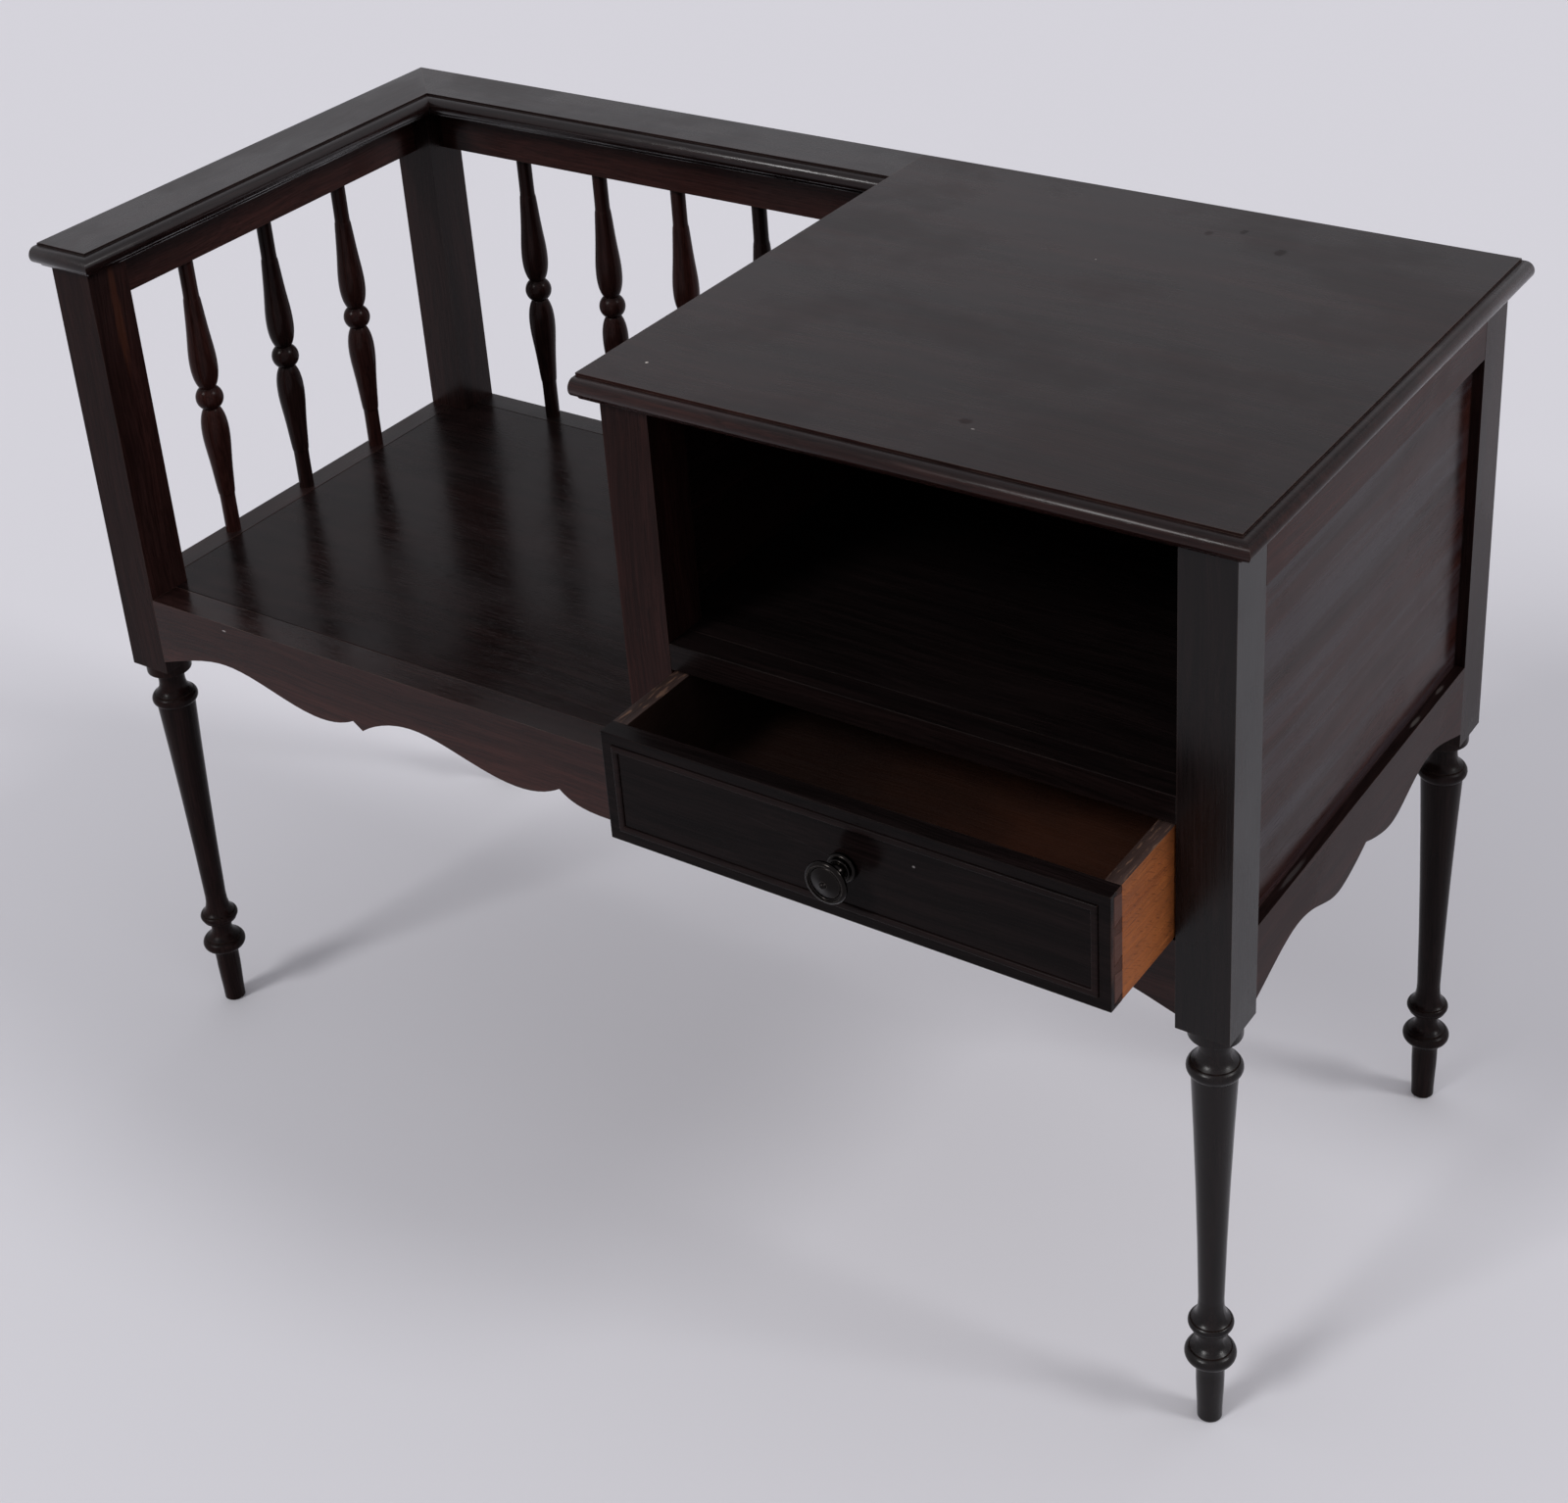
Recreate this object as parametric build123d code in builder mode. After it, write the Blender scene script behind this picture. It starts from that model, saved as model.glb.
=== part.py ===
"""Telephone bench.

A long seat on four turned legs. Its left end and its back are closed by turned spindles under
a moulded cap, and its right end carries a small cabinet with an open shelf over one drawer.

X runs along the bench (+X is the cabinet end), +Y runs to the back and +Z is up.
The origin is on the floor, under the middle of the bench with its drawer as it stands.
All lengths are in millimetres.
"""

from build123d import *

import math
import os

# ------------------------------------------------------------------ driving dimensions
# Overall frame
BENCH_WIDTH = 1000.0  # outer face of the left posts to outer face of the right posts
BENCH_DEPTH = 433.0  # front face of the front posts to back face of the back posts
SEAT_HEIGHT = 424.0  # floor to the top of the seat
TOP_HEIGHT = 732.0  # floor to the top of the caps and the cabinet top
POST = 39.0  # side of every square post
CABINET_START = 533.5  # left posts' outer face to the left face of the cabinet's posts

# Rails and aprons
RAIL_THICKNESS = 21.5  # side and back rails
APRON_THICKNESS = 26.0  # front apron
APRON_HEIGHT = 58.5  # seat to the aprons' lower edge beside a post
POST_DROP = 11.5  # aprons' lower edge beside a post to the underside of the posts' square part
TOP_RAIL_HEIGHT = 36.5  # rails under the caps
CABINET_RAIL_HEIGHT = 36.0  # rail under the cabinet's left panel
SHELF_RAIL_HEIGHT = 21.0
SHELF_RAIL_DEPTH = 22.0
DRAWER_OPENING_HEIGHT = 89.5  # seat to the underside of the shelf rail

# Joinery
PANEL_THICKNESS = 8.0  # also the thickness of the tenons, which run in the panels' grooves
PANEL_RECESS = 8.0  # outer face of a frame to the outer face of its panel
GROOVE_DEPTH = 6.0
PANEL_GAP = 1.0  # room left for a panel to swell at its sides and top
TENON_LENGTH = 15.0
TENON_SHOULDER = 10.0  # top and bottom shoulder of the rails' tenons
SHELF_TENON_SHOULDER = 5.0
STUB_LENGTH = 12.0  # stub tenon under each cabinet post
STUB_WIDTH = 20.0
POST_DOWEL_RADIUS = 7.0  # round tenon on top of each post
POST_DOWEL_LENGTH = 12.0
JOINT_FIT = 0.1  # clearance round tenons, dowels and screws
JOINT_DEPTH_FIT = 1.0  # empty room at the end of a mortise or dowel hole

# Moulded caps and cabinet top
CAP_THICKNESS = 21.0
CAP_WIDTH = 53.0  # flat of the arm cap and the back cap, without the moulding
CAP_SIDE_OVERHANG = 7.0  # arm cap beyond the left posts
CAP_BACK_OVERHANG = 11.5  # caps and cabinet top behind the back posts
CAP_FRONT_OVERHANG = 4.0  # flat of the arm cap and cabinet top in front of the front posts
TOP_SIDE_OVERHANG = 4.0  # flat of the cabinet top beyond the right posts
TOP_LEFT_OVERHANG = 15.0  # cabinet top beyond the cabinet's left posts
CAP_EDGE_RADIUS = 1.5  # softened plain edges
QUIRK_DEPTH = 1.8  # small step between the flat and the round of the moulding
ROUND_INSET = 3.0  # flat's edge to the centre of the round
ROUND_RADIUS = 6.6
FILLET_HEIGHT = 0.9  # small step under the round
FILLET_INSET = 0.7
COVE_DEPTH = 4.0  # how far the cove runs back under the flat

# Seat
SEAT_THICKNESS = 12.0
CLEAT = 15.0  # side of the square strips that carry the seat
BEARER_WIDTH = 30.0
BEARER_HEIGHT = 30.0

# Cabinet fittings
SHELF_THICKNESS = 12.0
KICKER_REACH = 17.0  # how far the kickers stand in over the drawer's sides
GUIDE_HEIGHT = 20.0
STOP_WIDTH = 30.0
STOP_DEPTH = 12.0
STOP_HEIGHT = 6.0
STOP_INSET = 60.0  # drawer's side to the middle of its stop
STOP_FIT = 0.4  # drawer front to its stops when it is shut
GLUE_BLOCK = 15.0
GLUE_BLOCK_LENGTH = 45.0
GLUE_BLOCK_INSET = 60.0  # post to the nearest glue block

# Spindles
ARM_SPINDLES = 3
BACK_SPINDLES = 5
ARM_SPINDLE_INSET = 87.0  # a post to the middle of the first arm spindle
ARM_SPINDLE_SHIFT = 4.0  # how far the arm's row stands towards the front
BACK_SPINDLE_INSET = 81.2  # a post to the middle of the first back spindle
SPINDLE_BALL_RADIUS = 11.6
SPINDLE_NECK_RADIUS = 6.8
SPINDLE_NECK_SLOPE = 1.6  # rise over run where each swell leaves its neck
SPINDLE_SWELL_RADIUS = 11.5
SPINDLE_SWELL_RISE = 32.0  # middle of the ball to the widest of each swell
SPINDLE_TAPER_RADIUS = 9.3
SPINDLE_TAPER_RISE = 60.0  # middle of the ball to the steepest of each taper
SPINDLE_SHANK_RADIUS = 7.1
SPINDLE_SHANK_RISE = 88.0  # middle of the ball to where the shank is nearly straight
SPINDLE_END_RADIUS = 6.4
SPINDLE_DOWEL_RADIUS = 4.5
SPINDLE_DOWEL_LENGTH = 11.0

# Turned legs: from the top a shoulder, a neck with its ring, the shaft, the ankle ring and the disc.
# Each ring stands under a rim, and a flare leads out to that rim from the narrow part above it.
LEG_SHOULDER_RADIUS = 18.5
LEG_SHOULDER_DROP = 10.0  # square block's underside to the shoulder's
LEG_SHOULDER_ROUNDING = 1.4
LEG_NECK_RADIUS = 10.9
LEG_NECK_FLARE = 10.1  # height of the flare
LEG_RIM_RADIUS = 15.9
LEG_RIM_DROP = 31.6  # square block's underside to the ring's rim
LEG_RING_RADIUS = 19.1
LEG_RING_HEIGHT = 9.8  # rim to the ring's foot
LEG_RING_FOOT_RADIUS = 16.8
LEG_SHAFT_TOP_RADIUS = 16.0
LEG_SHAFT_HOLLOW = 0.75  # how far the shaft's side curves in from a straight taper
LEG_SHAFT_FOOT_RADIUS = 9.1
LEG_ANKLE_FLARE = 18.0
LEG_ANKLE_RIM_RADIUS = 14.0
LEG_ANKLE_RISE = 26.5  # disc's rim to the ankle ring's rim
LEG_ANKLE_RADIUS = 16.2
LEG_ANKLE_RING_HEIGHT = 6.4
LEG_ANKLE_FOOT_RADIUS = 14.9
LEG_COLLAR_RADIUS = 14.4
LEG_COLLAR_THICKNESS = 1.6  # collar below the ankle ring
LEG_WAIST_RADIUS = 8.9
LEG_WAIST_FLARE = 9.0
LEG_DISC_RIM_RADIUS = 14.5
LEG_DISC_RIM_HEIGHT = 67.5  # above the floor
LEG_DISC_RADIUS = 18.4
LEG_DISC_RING_HEIGHT = 10.5
LEG_DISC_FOOT_RADIUS = 16.2
LEG_FOOT_TOP_RADIUS = 12.0
LEG_FOOT_MIDDLE_RADIUS = 10.1
LEG_FOOT_MIDDLE_HEIGHT = 40.0
LEG_FOOT_RADIUS = 8.9
LEG_FOOT_ROUNDING = 1.0
LEG_RIM_SLOPE = 0.75  # fall of each flare where it meets its rim, per unit outwards
TURNED_STEP = 0.8  # small flat steps between the turned members
HALF_ROOT = math.sqrt(0.5)  # sine and cosine of half a quarter round

# Drawer, standing open by DRAWER_OPEN
DRAWER_OPEN = 84.0
DRAWER_LENGTH = 385.0
DRAWER_FRONT_THICKNESS = 15.0
DRAWER_SIDE_THICKNESS = 12.0
DRAWER_BACK_THICKNESS = 10.0
DRAWER_BOTTOM_THICKNESS = 6.0
DRAWER_BOTTOM_RISE = 10.0  # drawer's lower edge to its bottom
DRAWER_BACK_DROP = 5.0  # back lower than the sides
DRAWER_SIDE_GAP = 1.5
DRAWER_UNDER_GAP = 0.6
DRAWER_OVER_GAP = 2.0
DOVETAIL_LAP = 5.0  # wood left in front of the dovetails
DOVETAILS = 3
DOVETAIL_SHARE = 0.62  # share of each dovetail's pitch that its root takes
DOVETAIL_FLARE = 2.4  # how much a tail widens to each side over its length
BEAD_INSET = 8.6  # edge of the drawer front to its bead
BEAD_WIDTH = 5.0
BEAD_SEAT = 1.0  # depth of the bead's groove
BEAD_PROUD = 1.4

# Knob, measured outwards from the drawer's face
KNOB_BASE_RADIUS = 9.6
KNOB_COLLAR_RADIUS = 10.9
KNOB_COLLAR_REACH = 4.6
KNOB_RING_RADIUS = 8.4
KNOB_RING_WIDTH = 2.6
KNOB_NECK_RADIUS = 5.6
KNOB_NECK_REACH = 11.0
KNOB_RADIUS = 15.6
KNOB_RIM_REACH = 19.6
KNOB_RIM_WIDTH = 3.2
KNOB_RIM_INNER_RADIUS = 13.2
KNOB_DISH_RADIUS = 11.0
KNOB_DISH_SINK = 0.9  # inner edge of the face's groove, below the rim
KNOB_GROOVE_SINK = 1.6  # bottom of that groove, below the rim
KNOB_BOSS_RADIUS = 2.6
KNOB_REACH = 27.2  # drawer's face to the tip of the knob
KNOB_SCREW_RADIUS = 2.0
KNOB_SCREW_GRIP = 8.0  # screw inside the knob
KNOB_HEAD_RADIUS = 4.0
KNOB_HEAD_HEIGHT = 2.4

# Wood screws
SCREW_RADIUS = 1.8
SCREW_HEAD_RADIUS = 3.6
SCREW_LENGTH = 27.0
SCREW_HEAD_ANGLE = 82.0  # full angle of the countersunk head
SCREW_SLOT_WIDTH = 0.8
SCREW_SLOT_DEPTH = 0.7
SCREW_INSET = 60.0  # end of a cleat to its first screw
LONG_CLEAT_SCREWS = 5
SHORT_CLEAT_SCREWS = 3
SMALL_SCREW_RADIUS = 1.3
SMALL_SCREW_HEAD_RADIUS = 2.6
SMALL_SCREW_LENGTH = 16.0
SMALL_SCREWS = 3
SMALL_SCREW_INSET = 50.0

# Scalloped lower edges, half of each from a post to the middle: distance from the post, and
# height above the edge beside the post. The distances stretch with the width between the posts.
# Each curve ends in a point, where the next one starts.
FRONT_SCALLOPS = (
    ((0.0, 0.0), (33.0, 10.8), (72.0, 18.0), (123.0, 8.3), (170.0, -2.0), (209.6, 6.4)),
    ((209.6, 6.4), (218.7, -0.2)),
    ((218.7, -0.2), (243.0, 12.4), (269.0, 17.5), (320.0, 8.5), (373.0, -1.9), (415.9, 9.7)),
    ((415.9, 9.7), (425.0, 3.4), (443.0, -1.6), (461.0, -2.4)),
)
SIDE_SCALLOPS = (
    ((0.0, 0.0), (30.0, 11.0), (64.0, 18.3), (96.0, 11.3), (129.0, 0.7), (152.0, 4.0), (177.5, 13.3)),
)

# ------------------------------------------------------------------ places worked out from them
MOULDING_REACH = ROUND_INSET + ROUND_RADIUS  # how far the moulding stands out from the flat

REACH_LEFT = CAP_SIDE_OVERHANG
REACH_RIGHT = TOP_SIDE_OVERHANG + MOULDING_REACH
REACH_FRONT = DRAWER_OPEN + KNOB_REACH
REACH_BACK = CAP_BACK_OVERHANG
X_LEFT = (REACH_LEFT - REACH_RIGHT - BENCH_WIDTH) / 2
X_RIGHT = X_LEFT + BENCH_WIDTH
Y_FRONT = (REACH_FRONT - REACH_BACK - BENCH_DEPTH) / 2
Y_BACK = Y_FRONT + BENCH_DEPTH

LEFT_POST_X = (X_LEFT, X_LEFT + POST)
RIGHT_POST_X = (X_RIGHT - POST, X_RIGHT)
CABINET_POST_X = (X_LEFT + CABINET_START, X_LEFT + CABINET_START + POST)
FRONT_POST_Y = (Y_FRONT, Y_FRONT + POST)
BACK_POST_Y = (Y_BACK - POST, Y_BACK)

LEG_HEIGHT = SEAT_HEIGHT - APRON_HEIGHT - POST_DROP  # floor to the posts' square part
CAP_UNDERSIDE = TOP_HEIGHT - CAP_THICKNESS
TOP_RAIL_Z = (CAP_UNDERSIDE - TOP_RAIL_HEIGHT, CAP_UNDERSIDE)
SEAT_RAIL_Z = (SEAT_HEIGHT - APRON_HEIGHT, SEAT_HEIGHT)
CABINET_RAIL_Z = (SEAT_HEIGHT, SEAT_HEIGHT + CABINET_RAIL_HEIGHT)
SHELF_RAIL_LOW = SEAT_HEIGHT + DRAWER_OPENING_HEIGHT
SHELF_RAIL_Z = (SHELF_RAIL_LOW, SHELF_RAIL_LOW + SHELF_RAIL_HEIGHT)
SHELF_Z = (SHELF_RAIL_Z[1] - SHELF_THICKNESS, SHELF_RAIL_Z[1])
SEAT_Z = (SEAT_HEIGHT - SEAT_THICKNESS, SEAT_HEIGHT)
CLEAT_Z = (SEAT_Z[0] - CLEAT, SEAT_Z[0])

LEFT_RAIL_X = (X_LEFT, X_LEFT + RAIL_THICKNESS)
RIGHT_RAIL_X = (X_RIGHT - RAIL_THICKNESS, X_RIGHT)
CABINET_RAIL_X = (CABINET_POST_X[0], CABINET_POST_X[0] + RAIL_THICKNESS)
BACK_RAIL_Y = (Y_BACK - RAIL_THICKNESS, Y_BACK)
FRONT_APRON_Y = (Y_FRONT, Y_FRONT + APRON_THICKNESS)
SHELF_RAIL_Y = (Y_FRONT, Y_FRONT + SHELF_RAIL_DEPTH)

# Panels and tenons lie in the same plane, one recess behind the outer face
TENON_BACK = PANEL_RECESS + PANEL_THICKNESS
LEFT_TENON_X = (X_LEFT + PANEL_RECESS, X_LEFT + TENON_BACK)
CABINET_PANEL_X = (CABINET_POST_X[0] + PANEL_RECESS, CABINET_POST_X[0] + TENON_BACK)
RIGHT_PANEL_X = (X_RIGHT - TENON_BACK, X_RIGHT - PANEL_RECESS)
FRONT_TENON_Y = (Y_FRONT + PANEL_RECESS, Y_FRONT + TENON_BACK)
BACK_PANEL_Y = (Y_BACK - TENON_BACK, Y_BACK - PANEL_RECESS)

# Clear widths between posts
SIDE_Y = (FRONT_POST_Y[1], BACK_POST_Y[0])
WHOLE_X = (LEFT_POST_X[1], RIGHT_POST_X[0])
SEAT_X = (LEFT_POST_X[1], CABINET_POST_X[0])
CABINET_X = (CABINET_POST_X[1], RIGHT_POST_X[0])

CAP_FRONT = Y_FRONT - CAP_FRONT_OVERHANG
CAP_BACK = Y_BACK + CAP_BACK_OVERHANG
CAP_LEFT = X_LEFT - CAP_SIDE_OVERHANG
TOP_LEFT = CABINET_POST_X[0] - TOP_LEFT_OVERHANG
TOP_RIGHT = X_RIGHT + TOP_SIDE_OVERHANG

DRAWER_FACE = Y_FRONT - DRAWER_OPEN
DRAWER_X = (CABINET_X[0] + DRAWER_SIDE_GAP, CABINET_X[1] - DRAWER_SIDE_GAP)
DRAWER_Z = (SEAT_HEIGHT + DRAWER_UNDER_GAP, SHELF_RAIL_LOW - DRAWER_OVER_GAP)
DRAWER_FRONT_Y = (DRAWER_FACE, DRAWER_FACE + DRAWER_FRONT_THICKNESS)
DRAWER_REAR = DRAWER_FACE + DRAWER_LENGTH
DRAWER_BACK_Y = (DRAWER_REAR - DRAWER_BACK_THICKNESS, DRAWER_REAR)
DRAWER_BOTTOM_Z = (
    DRAWER_Z[0] + DRAWER_BOTTOM_RISE,
    DRAWER_Z[0] + DRAWER_BOTTOM_RISE + DRAWER_BOTTOM_THICKNESS,
)
DRAWER_BACK_Z = (DRAWER_BOTTOM_Z[1], DRAWER_Z[1] - DRAWER_BACK_DROP)
DRAWER_GROOVE = DRAWER_SIDE_THICKNESS / 2  # depth of the groove for the drawer's bottom
LEFT_SIDE_X = (DRAWER_X[0], DRAWER_X[0] + DRAWER_SIDE_THICKNESS)
RIGHT_SIDE_X = (DRAWER_X[1] - DRAWER_SIDE_THICKNESS, DRAWER_X[1])


# ------------------------------------------------------------------ helpers
def middle(span):
    return (span[0] + span[1]) / 2


def length(span):
    return span[1] - span[0]


def widened(span, by):
    """The span with its two ends moved out by a distance, or in by a negative one."""
    return (span[0] - by, span[1] + by)


def block(x, y, z, mode=Mode.ADD):
    """Adds or cuts the block that fills a span on each axis."""
    with Locations((middle(x), middle(y), middle(z))):
        Box(length(x), length(y), length(z), mode=mode)


def spaced(span, count, inset):
    """Evenly spaced places along a span, the first and last one inset from its ends."""
    step = (length(span) - 2 * inset) / (count - 1)
    return [span[0] + inset + i * step for i in range(count)]


def save(part, name):
    """Labels a finished piece and writes it under its name."""
    part.label = name
    export_step(part, f"parts/{name}.step")


def tenons_x(x, y, z, shoulder=TENON_SHOULDER):
    """The tenons at both ends of a rail that runs along X, in the plane given by y."""
    for tenon in ((x[0] - TENON_LENGTH, x[0]), (x[1], x[1] + TENON_LENGTH)):
        block(tenon, y, widened(z, -shoulder))


def mortises_x(x, y, z, shoulder=TENON_SHOULDER):
    """The mortises that take those tenons."""
    depth = TENON_LENGTH + JOINT_DEPTH_FIT
    for mortise in ((x[0] - depth, x[0]), (x[1], x[1] + depth)):
        block(mortise, widened(y, JOINT_FIT), widened(z, JOINT_FIT - shoulder), Mode.SUBTRACT)


def tenons_y(x, y, z):
    """The tenons at both ends of a rail that runs along Y, in the plane given by x."""
    for tenon in ((y[0] - TENON_LENGTH, y[0]), (y[1], y[1] + TENON_LENGTH)):
        block(x, tenon, widened(z, -TENON_SHOULDER))


def mortises_y(x, y, z):
    """The mortises that take those tenons."""
    depth = TENON_LENGTH + JOINT_DEPTH_FIT
    for mortise in ((y[0] - depth, y[0]), (y[1], y[1] + depth)):
        block(widened(x, JOINT_FIT), mortise, widened(z, JOINT_FIT - TENON_SHOULDER), Mode.SUBTRACT)


def post_dowel(x, y):
    """Round tenon on top of a post, which enters the cap."""
    with Locations((middle(x), middle(y), CAP_UNDERSIDE)):
        Cylinder(POST_DOWEL_RADIUS, POST_DOWEL_LENGTH, align=(Align.CENTER, Align.CENTER, Align.MIN))


def post_dowel_hole(x, y):
    """Hole in a cap for a post's round tenon."""
    with Locations((middle(x), middle(y), CAP_UNDERSIDE)):
        Cylinder(
            POST_DOWEL_RADIUS + JOINT_FIT,
            POST_DOWEL_LENGTH + JOINT_DEPTH_FIT,
            align=(Align.CENTER, Align.CENTER, Align.MIN),
            mode=Mode.SUBTRACT,
        )


def cove(radius, edge, height):
    """Hollow quarter round from a flat underside at this height in to a neck of this radius."""
    reach = edge - radius
    ThreePointArc(
        (edge, height),
        (edge - reach * HALF_ROOT, height - reach * (1 - HALF_ROOT)),
        (radius, height - reach),
    )
    return height - reach


def flare_and_ring(neck, rim, ring, foot):
    """Flare from a neck out to a rim, and the round ring of this radius from the rim to its foot."""
    ledge = rim[1] - TURNED_STEP
    Spline(neck, rim, tangents=((0, -1), (1, -LEG_RIM_SLOPE)))
    Polyline(rim, (rim[0], ledge), (rim[0] + TURNED_STEP, ledge))
    ThreePointArc((rim[0] + TURNED_STEP, ledge), (ring, (ledge + foot[1]) / 2), foot)


def leg_outline():
    """Half of the leg's silhouette, from its axis under the block down to its axis at the floor."""
    top = LEG_HEIGHT
    shoulder = top - LEG_SHOULDER_DROP
    shoulder_flat = LEG_SHOULDER_RADIUS - LEG_SHOULDER_ROUNDING
    rim = (LEG_RIM_RADIUS, top - LEG_RIM_DROP)
    neck = (LEG_NECK_RADIUS, rim[1] + LEG_NECK_FLARE)
    ring_foot = (LEG_RING_FOOT_RADIUS, rim[1] - LEG_RING_HEIGHT)
    ankle_rim = (LEG_ANKLE_RIM_RADIUS, LEG_DISC_RIM_HEIGHT + LEG_ANKLE_RISE)
    shaft_foot = (LEG_SHAFT_FOOT_RADIUS, ankle_rim[1] + LEG_ANKLE_FLARE)
    shaft_middle = (ring_foot[1] + shaft_foot[1]) / 2
    shaft_radius = (LEG_SHAFT_TOP_RADIUS + LEG_SHAFT_FOOT_RADIUS) / 2 - LEG_SHAFT_HOLLOW
    ankle_foot = (LEG_ANKLE_FOOT_RADIUS, ankle_rim[1] - LEG_ANKLE_RING_HEIGHT)
    collar = ankle_foot[1] - LEG_COLLAR_THICKNESS
    disc_rim = (LEG_DISC_RIM_RADIUS, LEG_DISC_RIM_HEIGHT)
    waist = (LEG_WAIST_RADIUS, LEG_DISC_RIM_HEIGHT + LEG_WAIST_FLARE)
    disc_foot = (LEG_DISC_FOOT_RADIUS, LEG_DISC_RIM_HEIGHT - LEG_DISC_RING_HEIGHT)
    # square block's underside, shoulder and neck
    Polyline(
        (0, top),
        (LEG_SHOULDER_RADIUS, top),
        (LEG_SHOULDER_RADIUS, shoulder + LEG_SHOULDER_ROUNDING),
    )
    ThreePointArc(
        (LEG_SHOULDER_RADIUS, shoulder + LEG_SHOULDER_ROUNDING),
        (
            shoulder_flat + LEG_SHOULDER_ROUNDING * HALF_ROOT,
            shoulder + LEG_SHOULDER_ROUNDING * (1 - HALF_ROOT),
        ),
        (shoulder_flat, shoulder),
    )
    Line((shoulder_flat, shoulder), (shoulder_flat - TURNED_STEP, shoulder))
    hollow = cove(LEG_NECK_RADIUS, shoulder_flat - TURNED_STEP, shoulder)
    Line((LEG_NECK_RADIUS, hollow), neck)
    flare_and_ring(neck, rim, LEG_RING_RADIUS, ring_foot)
    # tapering shaft, and the ankle ring with a collar under it
    Line(ring_foot, (LEG_SHAFT_TOP_RADIUS, ring_foot[1]))
    ThreePointArc((LEG_SHAFT_TOP_RADIUS, ring_foot[1]), (shaft_radius, shaft_middle), shaft_foot)
    flare_and_ring(shaft_foot, ankle_rim, LEG_ANKLE_RADIUS, ankle_foot)
    Polyline(
        ankle_foot,
        (LEG_COLLAR_RADIUS, ankle_foot[1]),
        (LEG_COLLAR_RADIUS, collar),
        (LEG_COLLAR_RADIUS - TURNED_STEP, collar),
    )
    # waist and the disc above the foot
    hollow = cove(LEG_WAIST_RADIUS, LEG_COLLAR_RADIUS - TURNED_STEP, collar)
    Line((LEG_WAIST_RADIUS, hollow), waist)
    flare_and_ring(waist, disc_rim, LEG_DISC_RADIUS, disc_foot)
    # foot
    Line(disc_foot, (LEG_FOOT_TOP_RADIUS, disc_foot[1]))
    Spline(
        (LEG_FOOT_TOP_RADIUS, disc_foot[1]),
        (LEG_FOOT_MIDDLE_RADIUS, LEG_FOOT_MIDDLE_HEIGHT),
        (LEG_FOOT_RADIUS, LEG_FOOT_ROUNDING),
        tangents=((-1, -2), (0, -1)),
    )
    Polyline(
        (LEG_FOOT_RADIUS, LEG_FOOT_ROUNDING),
        (LEG_FOOT_RADIUS - LEG_FOOT_ROUNDING, 0),
        (0, 0),
        (0, top),
    )


def post_and_leg(x, y):
    """A corner post: square from the aprons up to the caps, turned below."""
    centre = (middle(x), middle(y), 0)
    block(x, y, (LEG_HEIGHT, CAP_UNDERSIDE))
    with BuildSketch(Plane(origin=centre, x_dir=(1, 0, 0), z_dir=(0, -1, 0))) as half:
        with BuildLine():
            leg_outline()
        make_face()
    revolve(half.sketch, axis=Axis(centre, (0, 0, 1)))
    post_dowel(x, y)


def scalloped_edge(start, end, scallops, low):
    """Closed outline of an apron in its own plane, from the seat down to its scalloped edge."""
    stretch = (end - start) / 2 / scallops[-1][-1][0]
    for curve in scallops:
        left = [(start + u * stretch, low + v) for u, v in curve]
        right = [(end - u * stretch, low + v) for u, v in curve]
        for points in (left, right):
            if len(points) == 2:
                Line(*points)
            else:
                Spline(*points)
    Polyline((start, low), (start, SEAT_HEIGHT), (end, SEAT_HEIGHT), (end, low))


def stub(x, y, slack=0.0, mode=Mode.ADD):
    """Stub tenon under a cabinet post in the plane given by y, or with slack its mortise."""
    depth = STUB_LENGTH + (JOINT_DEPTH_FIT if slack else 0)
    wide = widened((middle(x) - STUB_WIDTH / 2, middle(x) + STUB_WIDTH / 2), slack)
    block(wide, widened(y, slack), (SEAT_HEIGHT - depth, SEAT_HEIGHT), mode)


def mould_edge(edge, outward):
    """Cuts the cap's moulding through the whole board being built, along the flat's edge."""
    plane = Plane(origin=edge, x_dir=outward, z_dir=Vector(*outward).cross(Vector(0, 0, 1)))
    round_low = -QUIRK_DEPTH - 2 * ROUND_RADIUS
    cove_top = round_low - FILLET_HEIGHT
    past = ROUND_RADIUS  # how far the cut runs past the board
    with BuildSketch(plane) as waste:
        with BuildLine():
            Polyline((0, past), (0, -QUIRK_DEPTH), (ROUND_INSET, -QUIRK_DEPTH))
            ThreePointArc(
                (ROUND_INSET, -QUIRK_DEPTH),
                (MOULDING_REACH, -QUIRK_DEPTH - ROUND_RADIUS),
                (ROUND_INSET, round_low),
            )
            Polyline((ROUND_INSET, round_low), (FILLET_INSET, round_low), (FILLET_INSET, cove_top))
            RadiusArc(
                (FILLET_INSET, cove_top),
                (-COVE_DEPTH, -CAP_THICKNESS),
                COVE_DEPTH + FILLET_INSET + FILLET_HEIGHT,
            )
            Polyline(
                (-COVE_DEPTH, -CAP_THICKNESS),
                (-COVE_DEPTH, -CAP_THICKNESS - past),
                (MOULDING_REACH + past, -CAP_THICKNESS - past),
                (MOULDING_REACH + past, past),
                (0, past),
            )
        make_face()
    extrude(waste.sketch, amount=BENCH_WIDTH + BENCH_DEPTH, both=True, mode=Mode.SUBTRACT)


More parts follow.
